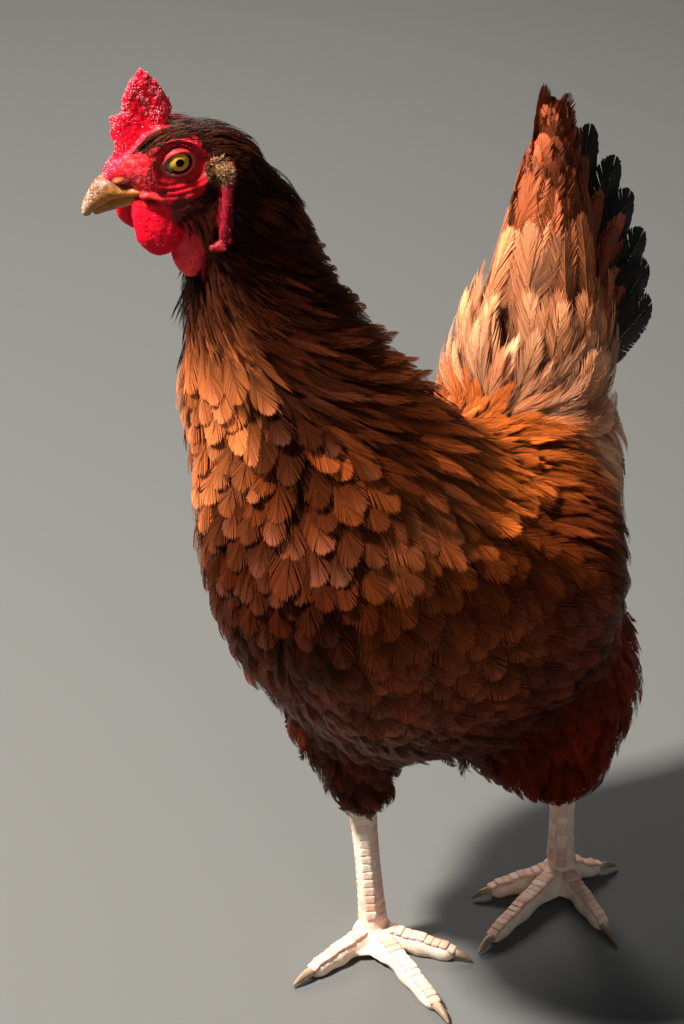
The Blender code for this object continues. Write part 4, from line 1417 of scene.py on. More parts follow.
@dataclass
class Bill:
    """The horny bill: a hooked upper half that closes over a flatter lower one."""

    upper: Rows = (
        (13.0, 0, -10.4, 8.7, 1.6, 2.4), (16.5, 0, -9.9, 8.6, 2.0, 2.8), (21.0, 0, -9.2, 7.1, 2.9, 3.4),
        (25.6, 0, -8.5, 5.9, 4.9, 4.6), (30.6, 0, -11.2, 4.2, 3.9, 3.7), (34.2, 0, -14.0, 2.5, 2.5, 2.4),
        (36.2, 0, -17.2, 1.0, 1.3, 1.2),
    )
    lower: Rows = (
        (13.0, 0, -13.2, 8.2, 3.0, 2.6), (17.0, 0, -13.2, 7.4, 3.0, 2.6), (22.0, 0, -13.6, 5.5, 3.0, 2.8),
        (28.0, 0, -14.5, 3.8, 2.6, 2.4), (33.4, 0, -16.4, 1.8, 1.6, 1.4),
    )
    horn: Colour = (0.40, 0.145, 0.018)
    ridge: Colour = (0.075, 0.022, 0.017)
    tip: Colour = (0.40, 0.22, 0.12)
    scuff: Colour = (0.62, 0.46, 0.38)

    def half(self, name: str, rows: Rows, finish: Material) -> None:
        """Makes one half of the bill."""
        shape = Loft(in_head(rows), 90, 64, (3.0, 1.4), HEAD.side, 2.3).shape()
        spots = HEAD.read(shape.points)
        lines = 0.03 * np.sin(spots[:, 0] * 2.6 + waves(spots, 6.0, 41)) + 0.06 * waves(spots, 3.2, 42)
        shape.points += shape.normals() * lines[:, None]
        table = np.array(rows)[:, (0, 2, 4)].T
        middle_line, half_height = (np.interp(spots[:, 0], table[0], table[k]) for k in (1, 2))
        high = (spots[:, 2] - middle_line) / half_height
        ridge = ramp(high, 0.15, 0.7) * float(name.endswith("upper"))
        colour = np.tile(self.horn, (len(spots), 1)) * (1 + 0.2 * waves(spots, 5.0, 43))[:, None]
        colour = blend(colour, self.ridge, ridge * (0.75 + 0.2 * waves(spots, 2.0, 44)))
        colour = blend(colour, self.tip, 0.6 * ramp(spots[:, 0], 32.0, 36.5))
        worn = ramp(waves(spots, 1.1, 45), 0.1, 0.6) * ramp(spots[:, 0], 26.0, 33.0)
        colour = blend(colour, self.scuff, 0.6 * worn * ridge)
        made = finished(f"bill_{name.split('_')[1]}", shape, finish)
        colour_points(made, "Hide", colour)
        settle(made, "beak_horn", name)

    def build(self) -> None:
        """Makes both halves."""
        finish = HornFinish("bill_horn").make()
        self.half("beak_upper", self.upper, finish)
        self.half("beak_lower", self.lower, finish)


@dataclass
class Claws:
    """The eight blunt curved claws."""

    marks: tuple[Triple, ...] = (
        (0.0, 3.2, 1.9), (0.4, 3.6, 1.8), (0.72, 2.7, 1.3), (1.0, 1.3, 0.45),
    )
    horn: Colour = (0.24, 0.155, 0.095)
    root: Colour = (0.42, 0.27, 0.17)

    def build(self) -> None:
        """Makes each claw on its toe."""
        finish = HornFinish("claw_horn", roughness=0.42).make()
        for word, _ in SIDES:
            leg = Leg(word)
            for toe in TOES:
                start, end = leg.toe(toe)
                node = f"claw_{word}_{toe}"
                ahead = unit(end - start)
                low, high = box(node)
                reach = np.linalg.norm(middle(node)[:2] - end[:2])
                reach = reach + np.linalg.norm((high - low)[:2]) / 2 + 1.5
                size = 0.85 if toe in ("hind", "inner") else 1.0
                rows = []
                for t, z, girth in self.marks:
                    half = girth * size
                    rows.append((*(end + ahead * (reach * t - 2.6) + UP * z), half, half * 1.1, half))
                shape = Loft(rows, 30, 20, (1.0, 0.8), np.cross(UP, ahead), 2.0).shape()
                along = ((shape.points - end) @ ahead) / reach
                made = finished(f"talon_{word}_{toe}", shape, finish)
                colour_points(made, "Hide", blend(self.root, self.horn, ramp(along, 0.0, 0.55)))
                settle(made, "claw_horn", node)


# ---------------------------------------------------------------- grains, scales and bristles


class Grain(Enum):
    """What is scattered over the skin, by the node that makes it."""

    BEAD = "GeometryNodeMeshIcoSphere"
    PLATE = "GeometryNodeMeshCube"
    BRISTLE = "GeometryNodeMeshCone"


@dataclass
class Scatter:
    """Copies of one small form, each placed, turned and sized by a point of its own."""

    name: str
    grain: Grain
    places: Array
    ups: Array
    alongs: Array
    sizes: Array
    colours: Array
    crease: float = 0.5

    def form(self, tree: NodeTree) -> NodeSocket:
        """Adds the nodes of the form itself, about one unit in size."""
        if self.grain is Grain.BEAD:
            made = add_node(tree, self.grain.value, Radius=1.0, Subdivisions=1)
        elif self.grain is Grain.BRISTLE:
            sizes = {"Vertices": 4, "Radius_Top": 0.0, "Radius_Bottom": 1.0, "Depth": 1.0}
            made = add_node(tree, self.grain.value, **sizes)
        else:
            cube = add_node(tree, self.grain.value, Size=(2.0, 2.0, 2.0)).outputs["Mesh"]
            kind = "GeometryNodeSubdivisionSurface"
            made = add_node(tree, kind, Mesh=cube, Level=2, Edge_Crease=self.crease)
        return made.outputs[0]

    def named(self, tree: NodeTree, name: str) -> NodeSocket:
        """Returns a vector that each point carries."""
        settings = {"data_type": "FLOAT_VECTOR"}
        return add_node(tree, "GeometryNodeInputNamedAttribute", settings, Name=name).outputs["Attribute"]

    def turned(self, tree: NodeTree) -> NodeSocket:
        """Returns the turn that lays a form on its point."""
        kind = "FunctionNodeAlignRotationToVector"
        stood = {"axis": "Z", "pivot_axis": "AUTO"}
        turn = add_node(tree, kind, stood, Vector=self.named(tree, "up")).outputs[0]
        spun = {"axis": "Y", "pivot_axis": "Z"}
        return add_node(tree, kind, spun, Vector=self.named(tree, "along"), Rotation=turn).outputs[0]

    def tree(self) -> tuple[NodeTree, dict[str, str]]:
        """Builds the node tree.

        Returns:
            The tree, and its inputs' identifiers by name.
        """
        tree = bpy.data.node_groups.new(f"{self.name}_scatter", "GeometryNodeTree")
        keys = {}
        for name, kind in (("Geometry", "Geometry"), ("Scale", "Float"), ("Finish", "Material")):
            made = tree.interface.new_socket(name, in_out="INPUT", socket_type=f"NodeSocket{kind}")
            keys[name] = made.identifier
        tree.interface.new_socket("Geometry", in_out="OUTPUT", socket_type="NodeSocketGeometry")
        start = add_node(tree, "NodeGroupInput").outputs
        points = add_node(tree, "GeometryNodeMeshToPoints", Mesh=start["Geometry"])
        own, scale = self.named(tree, "size"), {"operation": "SCALE"}
        size = add_node(tree, "ShaderNodeVectorMath", scale, Vector=own, Scale=start["Scale"])
        copies = add_node(
            tree, "GeometryNodeInstanceOnPoints", Points=points.outputs[0], Instance=self.form(tree),
            Rotation=self.turned(tree), Scale=size.outputs[0],
        )
        real = add_node(tree, "GeometryNodeRealizeInstances", Geometry=copies.outputs[0])
        finish, kind = start["Finish"], "GeometryNodeSetMaterial"
        dressed = add_node(tree, kind, Geometry=real.outputs[0], Material=finish)
        add_node(tree, "NodeGroupOutput", Geometry=dressed.outputs[0])
        return tree, keys

    def build(self, finish: Material, slot: str) -> Object:
        """Makes the joined copies as one piece.

        Args:
            finish: The material.
            slot: Not used.

        Returns:
            The piece.
        """
        seeds = bpy.data.meshes.new(f"{self.name}_points")
        seeds.from_pydata((self.places * MM).tolist(), [], [])
        for name, values in (("up", self.ups), ("along", self.alongs), ("size", self.sizes * MM)):
            attribute = seeds.attributes.new(name, "FLOAT_VECTOR", "POINT")
            attribute.data.foreach_set("vector", values.astype(np.float32).ravel())
        worker = linked(f"{self.name}_points", seeds)
        colour_points(worker, "Hide", self.colours)
        tree, keys = self.tree()
        modifier = worker.modifiers.new("scatter", "NODES")
        modifier.node_group = tree
        modifier[keys["Scale"]] = 1.0
        modifier[keys["Finish"]] = finish
        mesh = plain_mesh(worker)
        mesh.name = self.name
        mesh.shade_smooth()
        made = linked(self.name, mesh)
        settle(made, slot)
        return made


@dataclass
class Grains:
    """The granular skin of comb, face and lobes, the ear tufts and the bristles over the brow."""

    skin: Shape
    face: Face
    pale: Colour = (0.86, 0.40, 0.42)
    tuft_tan: Colour = (0.44, 0.24, 0.11)
    bristle_dark: Colour = (0.05, 0.02, 0.012)
    grains: int = 4200
    ear_bristles: int = 2200
    brow_bristles: int = 460

    def __post_init__(self) -> None:
        """Finds the places on the head's skin and which way they face."""
        spots = HEAD.read(self.skin.points)
        near = (spots[:, 2] > -50) & (np.abs(spots[:, 1]) < 26) & (spots[:, 0] > -24)
        self.near = np.flatnonzero(near)
        self.spots = spots[self.near]
        self.normals = self.skin.normals()[self.near]
        self.rng = np.random.default_rng(SEED + 1)

    def pick(self, weight: Array, count: int) -> Array:
        """Returns the numbers of some places, picked by their weight."""
        most = int((weight > 1e-6).sum())
        picked = self.rng.choice(len(weight), min(count, most), replace=False, p=weight / weight.sum())
        return np.sort(picked)

    def beads(self) -> None:
        """Makes the grains."""
        face, spots, rng = self.face, self.spots, self.rng
        ahead, side, up = spots.T
        comb = face.combed(spots) * (np.abs(side) < 4.5)
        patchy = ramp(waves(spots, 6.0, 51), -0.05, 0.45)
        edge = 1 - ramp(Comb().inside(np.stack([ahead, up], 1)), 1.5, 5.0)
        upper = ramp(up - 0.35 * ahead, 8.0, 20.0)
        weight = comb * np.clip(0.35 * patchy + 0.6 * edge * (0.3 + patchy) + 0.9 * upper * patchy, 0, 1.5)
        around = np.hypot(ahead, up)
        beside = ramp(np.abs(side), 5.0, 8.0) * face.bareness(spots) * (1 - face.combed(spots))
        brow = beside * hump(around, 8.6, 2.2) * ramp(up + 0.4 * ahead, 0.5, 4.0)
        lores = beside * hump(ahead, 13.5, 4.5) * hump(up, -2.0, 5.0)
        folds = face.hangs(spots, face.earlobe) + face.hangs(spots, face.dewlap, 1)
        folds = folds + 0.35 * face.hangs(spots, face.wattle)
        weight = weight + 0.7 * brow + 0.5 * lores + 0.10 * folds
        picked = self.pick(weight, self.grains)
        size = rng.uniform(0.13, 0.26, len(picked)) * (1 + 0.25 * comb[picked])
        share = rng.uniform(0.0, 0.85, len(picked))[:, None] ** 1.4
        share = share * np.where(comb[picked] > 0.5, 0.9, 0.3)[:, None]
        base = Markings.hide(self.skin.points[self.near][picked], face)
        Scatter(
            "skin_grains", Grain.BEAD, HEAD.place(spots[picked]), self.normals[picked],
            np.tile(HEAD.ahead, (len(picked), 1)), size[:, None] * (1.0, 1.0, 0.75),
            base * (1 - share) + np.array(self.pale) * share,
        ).build(HideFinish("skin_grain", roughness=0.5).make(), "red_skin")

    def bristles(self) -> None:
        """Makes the ear tufts and the fine bristles between comb and brow."""
        spots, rng = self.spots, self.rng
        ahead, side, up = spots.T
        beside = ramp(np.abs(side), 8.0, 10.0)
        ear = beside * (self.face.from_ear(spots) < 5.2)
        brow = ramp(np.abs(side), 4.0, 5.5) * (1 - ramp(np.abs(side), 11.0, 13.0)) * hump(ahead, 7.0, 6.5)
        brow = brow * ramp(up + 0.55 * ahead, 8.0, 10.5)
        tuft, fine = self.pick(ear, self.ear_bristles), self.pick(brow, self.brow_bristles)
        picked = np.concatenate([tuft, fine])
        is_tuft = np.arange(len(picked)) < len(tuft)
        normals = self.normals[picked]
        of_ear = 0.8 * normals - 0.5 * HEAD.ahead + 0.1 * HEAD.crown
        of_brow = 0.35 * normals - 0.75 * HEAD.ahead + 0.35 * HEAD.crown
        lean = np.where(is_tuft[:, None], of_ear, of_brow)
        lean = unit(lean + rng.normal(0, 1, lean.shape) * np.where(is_tuft, 0.6, 0.28)[:, None])
        long = np.where(is_tuft, rng.uniform(1.3, 2.7, len(picked)), rng.uniform(2.0, 4.0, len(picked)))
        wide = np.where(is_tuft, 0.13, 0.07)
        lit = 0.3 + 0.9 * ramp(0.6 * up[picked] - 0.8 * ahead[picked], 3.0, 8.0)
        light = rng.uniform(0.35, 1.5, len(picked))[:, None] * lit[:, None]
        tan, dark = (np.array(tint) * light for tint in (self.tuft_tan, self.bristle_dark))
        colours = np.where(is_tuft[:, None], tan, dark)
        Scatter(
            "head_bristles", Grain.BRISTLE, HEAD.place(spots[picked]) - normals * 0.3, lean,
            np.tile(HEAD.side, (len(picked), 1)), np.stack([wide, wide, long], 1), colours,
        ).build(HideFinish("bristle", roughness=0.5, flesh=0.0).make(), "plumage")


@dataclass
class Scutes:
    """The horny scales on the front of the shanks and along the toes."""

    surface: "Surface"
    rows: int = 15
    shank_half: float = 2.15
    toe_pitch: float = 3.3
    toe_first: float = 6.5
    clearance: float = 14.0
    toe_clearance: float = 16.0
    rim_red: Colour = (0.66, 0.24, 0.14)
    plate_pale: Colour = (0.93, 0.74, 0.60)

    def shank(self, leg: Leg) -> list[tuple]:
        """Returns the scales in two columns down the front of a shank: outside place, pull and size."""
        foot, top = leg.axis()
        start, end = leg.toe("middle")
        down = unit(foot - top)
        front = unit((end - start) - down * ((end - start) @ down))
        across = np.cross(down, front)
        made = []
        length = np.linalg.norm(top - foot)
        for column in (-1, 1):
            for k in range(self.rows):
                share = 0.1 + 0.82 * (k + 0.25 * (column + 1)) / self.rows
                away = unit(front * 0.86 + across * column * 0.5)
                centre = foot + (top - foot) * share
                half = length * 0.82 / self.rows / 2 * 1.08
                size = (self.shank_half * 1.06, half, 0.62)
                made.append((centre + away * self.clearance, away, down, size))
            for k in range(self.rows + 3):
                share = 0.06 + 0.86 * (k + 0.4 * column) / (self.rows + 3)
                away = unit(front * -0.55 + across * column * 0.85)
                outside = foot + (top - foot) * share + away * self.clearance
                made.append((outside, away, down, (1.7, 1.7, 0.5)))
        return made

    def toe(self, leg: Leg, toe: str) -> list[tuple]:
        """Returns the crosswise scales along the top of a toe."""
        start, end = leg.toe(toe)
        length = np.linalg.norm(end - start)
        ahead = unit(end - start)
        made = []
        first = self.toe_first
        count = int((length - first) / self.toe_pitch)
        for k in range(count):
            along = first + (k + 0.5) * (length - first) / count
            wide = leg.toe_half * (0.86 - 0.3 * along / length)
            outside = start + ahead * along + UP * self.toe_clearance
            made.append((outside, UP, ahead, (wide, self.toe_pitch * 0.56, 0.8)))
        return made

    def build(self) -> None:
        """Makes all scales as one piece."""
        rng = np.random.default_rng(SEED + 2)
        made = []
        for word, _ in SIDES:
            leg = Leg(word)
            made += self.shank(leg)
            for toe in TOES:
                made += self.toe(leg, toe)
        outside, pulls, alongs, sizes = (np.array([row[k] for row in made], float) for k in range(4))
        places, normals = [], []
        for spot, pull in zip(outside, pulls):
            hit, normal, _, _ = self.surface.tree.ray_cast(Vector(spot), Vector(-pull))
            places.append(hit if hit is not None else Vector(spot - pull * self.clearance))
            normals.append(normal if normal is not None else Vector(pull))
        places, normals = np.array(places), unit(np.array(normals) + pulls)
        alongs = unit(alongs + normals * 0.12)
        low = ramp(-places[:, 2], -34.0, -14.0)[:, None]
        share = np.clip(rng.uniform(0.0, 0.45, (len(places), 1)) + 0.25 * low, 0, 1)
        colours = blend(self.plate_pale, self.rim_red, share[:, 0])
        Scatter(
            "leg_scutes", Grain.PLATE, places - normals * 0.18, normals, alongs, sizes, colours, 0.62
        ).build(HideFinish("leg_scale", roughness=0.4, grain=900.0, flesh=0.06).make(), "leg_scale")


# ---------------------------------------------------------------- the coat


@dataclass(frozen=True)
class Plume:
    """One kind of feather. Lengths are in millimetres and shares run from its root to its tip.

    Attributes:
        length, width, barbs: The vane's size and the barbs on one side of it.
        spacing, lift: How far apart roots stand and how high tips stand off the skin.
        pointed, tip_from: How sharp the tip is and where it starts to narrow.
        sweep: How far along the shaft a barb runs.
        ragged, clump: How uneven the barbs' ends are and how much barbs cling together.
        cup, bow, twist: How far the vane bends down, sideways and barb by barb.
        stray: How far the shaft turns out of the lie.
        gloom, pale: How dark the root is (own colour and painted shade) and how strong the tip's painted
            highlight is.
        split: Where along a barb its point starts.
        steps, fill: A barb's pieces, and its width as a share of its room.
        bare: The share of the shaft before the first barb's end.
        wisps: The share of feathers that stand off.
        stiff: Whether the shaft ignores the lie.
    """

    length: float
    width: float
    barbs: int
    spacing: float
    lift: float
    pointed: float
    tip_from: float
    sweep: float
    ragged: float
    clump: float
    cup: float
    bow: float
    stray: float
    twist: float
    gloom: float
    pale: float
    split: float
    steps: int = 1
    fill: float = 1.3
    bare: float = 0.36
    wisps: float = 0.04
    stiff: bool = False

    @property
    def triangles(self) -> int:
        """Returns how many triangles one feather has."""
        return 2 * self.barbs * (2 * self.steps + 1) + 16

    def outline(self) -> tuple[Array, Array, Array]:
        """Returns where each barb of one side starts on the shaft and where it ends.

        Returns:
            The roots' shares of the length, the tips' shares, and the tips' shares of the half width.
        """
        turn = np.linspace(0, np.pi / 2, 160)
        side = np.linspace(self.bare, self.tip_from, 80)[:-1]
        along = np.concatenate([side, self.tip_from + (1 - self.tip_from) * np.sin(turn)])
        swell = 0.8 + 0.2 * ramp(side, self.bare, self.tip_from)
        out = np.concatenate([swell, np.cos(turn) ** self.pointed])
        early = np.concatenate([np.zeros(len(side)), np.sin(turn)])
        steps = np.hypot(np.diff(along) * self.length, np.diff(out) * self.width / 2)
        run = np.concatenate([[0.0], np.cumsum(steps)])
        at = np.linspace(0.0, run[-1] * 0.99, self.barbs)
        tips, outs, arc = (np.interp(at, run, values) for values in (along, out, early))
        roots = np.clip(tips - self.sweep * (1 - 0.55 * arc), 0.01, 0.97)
        return roots, tips, outs


class Kind(Enum):
    """The kinds of feathers of the coat."""

    CROWN = Plume(
        9.0, 1.5, 4, 1.7, 1.9, 1.4, 0.4, 0.6, 0.2, 0.4, 0.2, 0.1, 0.22, 0.1, 0.3, 0.25, 0.7,
        fill=1.2, wisps=0.15,
    )
    CHEEK = Plume(
        5.5, 0.8, 3, 1.3, 0.6, 1.4, 0.3, 0.6, 0.3, 0.4, 0.1, 0.1, 0.2, 0.1, 0.3, 0.0, 0.6,
        fill=1.2,
    )
    THROAT = Plume(
        17.0, 2.4, 8, 2.5, 3.8, 1.5, 0.35, 0.6, 0.2, 0.4, 0.2, 0.1, 0.2, 0.1, 0.3, 0.0, 0.6,
        fill=1.2,
    )
    NAPE = Plume(
        25.0, 4.2, 14, 3.3, 5.6, 1.5, 0.4, 0.55, 0.12, 0.3, 0.3, 0.1, 0.14, 0.08, 0.5, 0.04, 0.75,
        wisps=0.2,
    )
    HACKLE = Plume(
        42.0, 7.0, 24, 4.9, 8.4, 1.4, 0.45, 0.5, 0.1, 0.3, 0.35, 0.08, 0.12, 0.08, 0.5, 0.06, 0.8,
        wisps=0.25,
    )
    BIB = Plume(
        28.0, 13.5, 30, 6.4, 8.8, 0.9, 0.58, 0.58, 0.05, 0.3, 0.38, 0.05, 0.09, 0.05, 0.8, 0.42, 0.88,
    )
    BREAST = Plume(
        28.0, 15.0, 30, 6.8, 8.6, 0.85, 0.6, 0.6, 0.05, 0.3, 0.4, 0.05, 0.09, 0.05, 0.8, 0.28, 0.88,
    )
    COVERT = Plume(
        34.0, 15.5, 32, 7.4, 8.8, 1.05, 0.55, 0.6, 0.07, 0.5, 0.35, 0.06, 0.1, 0.06, 0.7, 0.14, 0.82,
    )
    FLANK = Plume(37.0, 12.0, 28, 6.6, 8.6, 1.2, 0.45, 0.6, 0.1, 0.4, 0.3, 0.07, 0.1, 0.08, 0.6, 0.04, 0.8)
    SADDLE = Plume(
        42.0, 9.0, 26, 5.6, 8.4, 1.3, 0.42, 0.55, 0.12, 0.4, 0.3, 0.08, 0.12, 0.08, 0.55, 0.2, 0.76,
    )
    FLUFF = Plume(
        27.0, 11.0, 22, 5.8, 8.6, 1.1, 0.35, 0.5, 0.2, 0.5, 0.1, 0.12, 0.2, 0.12, 0.5, 0.1, 0.62,
        fill=1.25,
    )
    THIGH = Plume(
        22.0, 8.5, 20, 4.8, 8.4, 1.2, 0.4, 0.5, 0.14, 0.5, 0.2, 0.1, 0.14, 0.12, 0.5, 0.05, 0.68,
        fill=1.25,
    )
    TAIL_LONG = Plume(
        60.0, 16.0, 40, 8.5, 6.5, 1.0, 0.6, 0.4, 0.07, 0.5, 0.3, 0.04, 0.1, 0.08, 0.5, 0.2, 0.86,
        wisps=0.0,
    )
    TAIL_TIP = Plume(
        24.0, 11.0, 24, 5.0, 3.5, 0.9, 0.6, 0.5, 0.06, 0.4, 0.35, 0.05, 0.08, 0.08, 0.6, 0.2, 0.86,
        stiff=True,
    )
    TAIL_SOFT = Plume(
        38.0, 14.0, 26, 6.6, 9.0, 1.05, 0.4, 0.5, 0.16, 0.5, 0.1, 0.12, 0.24, 0.12, 0.5, 0.3, 0.62,
        fill=1.25, wisps=0.0,
    )


@dataclass
class Roots:
    """Where some feathers grow: place, way, and size for each."""

    places: Array
    ways: Array
    sizes: Array
    patches: Array

    def __len__(self) -> int:
        """Returns how many feathers there are."""
        return len(self.places)

    def some(self, chosen: slice) -> "Roots":
        """Returns some of the roots."""
        return Roots(self.places[chosen], self.ways[chosen], self.sizes[chosen], self.patches[chosen])


@dataclass
class Vanes:
    """The mesh of many feathers, with what its finish reads."""

    points: Array
    faces: Array
    barb: Array
    patch: Array
    colours: Array

    @classmethod
    def joined(cls, groups: Sequence["Vanes"]) -> "Vanes":
        """Returns several groups as one."""
        shape = Shape.joined([Shape(g.points, g.faces) for g in groups])
        rest = (np.concatenate([getattr(g, key) for g in groups]) for key in ("barb", "patch", "colours"))
        return cls(shape.points, shape.faces, *rest)

    def build(self, name: str, finish: Material, slot: str, *nodes: str) -> Object:
        """Makes the object and its maps."""
        made = finished(name, Shape(self.points, self.faces), finish)
        colour_points(made, "Plumage", self.colours)
        map_corners(made, "OFBake", self.patch, self.faces)
        map_corners(made, "Barb", self.barb, self.faces)
        made.data.uv_layers["OFBake"].active_render = True
        settle(made, slot, *nodes)
        return made


@dataclass
class Shafts:
    """Traced feather shafts: places, outward ways and forward ways, feathers x stations x 3."""

    places: Array
    outward: Array
    forward: Array

    def at(self, share: Array) -> tuple[Array, Array, Array]:
        """Reads the shafts at shares of their length, the first axis being the feathers."""
        stations = self.places.shape[1] - 1
        where = np.clip(share, 0, 1) * stations
        low = np.minimum(where.astype(int), stations - 1)
        part = (where - low)[..., None]
        rows = np.arange(len(self.places)).reshape(-1, *([1] * (share.ndim - 1)))
        return tuple(v[rows, low] * (1 - part) + v[rows, low + 1] * part
                     for v in (self.places, self.outward, self.forward))


class Vane:
    """Turns shafts into feathers of one kind."""

    patch_size = 1.2  # size of a feather's patch before its far points are drawn in
    drawn_in = 0.8  # how strongly they are

    def __init__(self, plume: Plume, rng: np.random.Generator) -> None:
        """Keeps the kind and the source of chance."""
        self.plume = plume
        self.rng = rng

    def grow(self, shafts: Shafts, roots: Roots, tints: Array) -> Vanes:
        """Returns the feathers on the shafts.

        Args:
            shafts: The traced shafts.
            roots: Their roots.
            tints: A colour for each feather.

        Returns:
            The mesh of all barbs and shafts.
        """
        # painted highlight: how strongly each feather's tip is made to shine
        self.gleam = self.rng.uniform(0.0, 1.5, len(roots)) ** 2
        barbs = self.barbs(shafts, roots, tints)
        spines = self.spines(shafts, roots, tints)
        return Vanes.joined([barbs, spines])

    def flat(self, roots: Roots) -> tuple[Array, Array, Array, Array]:
        """Lays the barbs out flat.

        Returns:
            x across and y along the feather in millimetres, the strips' half widths, and the shares q
            along each barb, for feathers x sides x barbs x stations.
        """
        plume, rng = self.plume, self.rng
        count, barbs = len(roots), plume.barbs
        start, stop, out = plume.outline()
        length = (plume.length * roots.sizes)[:, None, None]
        half = (plume.width / 2 * roots.sizes)[:, None, None]
        shape = (count, 2, barbs)
        reach = np.clip(1 - np.abs(rng.normal(0, plume.ragged, shape)), 0.4, 1.0)
        group = np.round(np.arange(barbs) / 3 + rng.uniform(0, 1, (count, 2, 1))) * 3
        pull = (group - np.arange(barbs)) * plume.clump * rng.uniform(0.3, 1.0, shape)
        gap = np.gradient(stop)
        tip_y = (stop + pull * gap * 0.55) * length
        tip_x = out * half * (1 + rng.normal(0, 0.05, shape))
        root_y = start * length + rng.normal(0, 0.15, shape)
        q = np.append(np.linspace(0, plume.split, plume.steps + 1), 1.0)
        run = q * reach[..., None]
        x = tip_x[..., None] * run**0.85
        y = root_y[..., None] + (tip_y - root_y)[..., None] * run**1.2
        reach_x, reach_y = out * plume.width / 2, (stop - start) * plume.length
        widening = np.gradient(out * plume.width / 2)
        slant = np.maximum(np.hypot(reach_x, reach_y), 0.3)
        root_gap = np.maximum(np.abs(np.gradient(start) * plume.length * reach_x) / slant, 0.16)
        tip_gap = np.abs(widening * reach_y - np.gradient(stop) * plume.length * reach_x)
        tip_gap = np.maximum(tip_gap / slant, 0.16)
        taper = plume.fill * (1 - 0.25 * q)
        taper[-1] = 0.0
        wide = 0.5 * (root_gap[:, None] * (1 - q) + 0.9 * tip_gap[:, None] * q) * taper
        side = np.array([1.0, -1.0])[None, :, None, None]
        return x * side, y, wide * roots.sizes[:, None, None, None], np.broadcast_to(q, x.shape)

    def barbs(self, shafts: Shafts, roots: Roots, tints: Array) -> Vanes:
        """Returns the barbs, each a narrow strip that ends in a point."""
        plume, rng = self.plume, self.rng
        x, y, wide, q = self.flat(roots)
        count, _, barbs, stations = x.shape
        length = (plume.length * roots.sizes)[:, None, None, None]
        half = (plume.width / 2 * roots.sizes)[:, None, None, None]
        bend = rng.normal(0, plume.bow, count)[:, None, None, None]
        dx, dy = np.gradient(x, axis=3), np.gradient(y, axis=3)
        size = np.maximum(np.hypot(dx, dy), 1e-6)
        tilt = rng.normal(0, plume.twist, (count, 2, barbs, 1))
        edges = []
        for sign in (1, -1):
            ex, ey = x - sign * dy / size * wide, y + sign * dx / size * wide
            share = ey / length
            ex = ex + bend * length * share**2
            high = -plume.cup * half * (x / half) ** 2 + sign * tilt * wide
            edges.append((ex, ey, high))
        ex, ey, high = (np.stack([edge[k] for edge in edges], -1) for k in range(3))
        points = self.placed(shafts, ex, ey / length[..., None], high, length[..., None])
        points = self.own_tips(points)
        faces = self.strips(count * 2 * barbs, stations)
        share = self.own_tips(ey[..., None] / length[..., None, None])[..., 0]
        across = self.own_tips((ex / half[..., None] / 2)[..., None])[..., 0]
        order = np.arange(count * 2 * barbs).reshape(count, 2, barbs, 1) * 1.37 % 97.0
        side = np.concatenate([np.tile([0.0, 1.0], stations - 1), [0.5]])
        barb = np.stack([self.own_tips(np.stack([q, q], -1)[..., None])[..., 0], order + side], -1)
        patch = self.patch(roots, across, share)
        light = rng.normal(1.0, 0.17, (count, 2, barbs, 1)) * np.ones(share.shape)
        colours = self.tinted(tints, share, light)
        return Vanes(points.reshape(-1, 3), faces, barb.reshape(-1, 2), patch, colours)

    def own_tips(self, values: Array) -> Array:
        """Lays each barb's two edges out as one row of points that ends in a single tip."""
        *lead, stations, _, width = values.shape
        rows = values[..., :-1, :, :].reshape(*lead, (stations - 1) * 2, width)
        return np.concatenate([rows, values[..., -1, :1, :]], axis=-2)

    def strips(self, count: int, stations: int) -> Array:
        """Returns the triangles of a number of strips."""
        each = (stations - 1) * 2 + 1
        tris = []
        for k in range(stations - 2):
            a, b, c, d = 2 * k, 2 * k + 1, 2 * k + 3, 2 * k + 2
            tris += [(a, b, c), (a, c, d)]
        tris.append((each - 3, each - 2, each - 1))
        faces = np.array(tris)[None] + (np.arange(count) * each)[:, None, None]
        return faces.reshape(-1, 3)

    def placed(self, shafts: Shafts, x: Array, share: Array, high: Array,
               length: Array) -> Array:
        """Bends flat feathers onto their shafts."""
        place, outward, forward = shafts.at(share)
        across = np.cross(forward, outward)
        beyond = np.maximum(share - 1, 0) * length
        return place + across * x[..., None] + outward * high[..., None] + forward * beyond[..., None]

    def patch(self, roots: Roots, across: Array, share: Array) -> Array:
        """Returns each point's place on the coat's map: a small patch round the root's.

        Points far out on a patch are drawn in, but never onto one another, so no face is flat on the map.
        """
        centre = roots.patches.reshape(len(roots), *([1] * (across.ndim - 1)), 2)
        spots = np.stack([across, share - 0.5], -1)
        spots = PATCH * self.patch_size * spots / (1 + self.drawn_in * np.abs(spots))
        return (centre + spots).reshape(-1, 2)

    def tinted(self, tints: Array, share: Array, light: Array) -> Array:
        """Returns the points' colours: darker at the root, full from the middle on, with a painted
        highlight at the tip.
        """
        # darker roots: partly the feathers' own colour, partly painted shade where the feathers overlap
        dull = 1 - self.plume.gloom * (1 - ramp(share, 0.3, 0.88))
        shape = (len(tints), *([1] * (share.ndim - 1)), 3)
        colours = tints.reshape(shape) * (dull * light)[..., None]
        # painted highlight at the barbs' tips
        tip = np.minimum(colours * Markings.tip_highlight_gain + Markings.barb_gleam, 0.9)
        gleam = self.plume.pale * self.gleam.reshape(shape[:-1])
        return blend(colours, tip, np.clip(gleam, 0.0, 1.0) * ramp(share, 0.76, 1.0)).reshape(-1, 3)

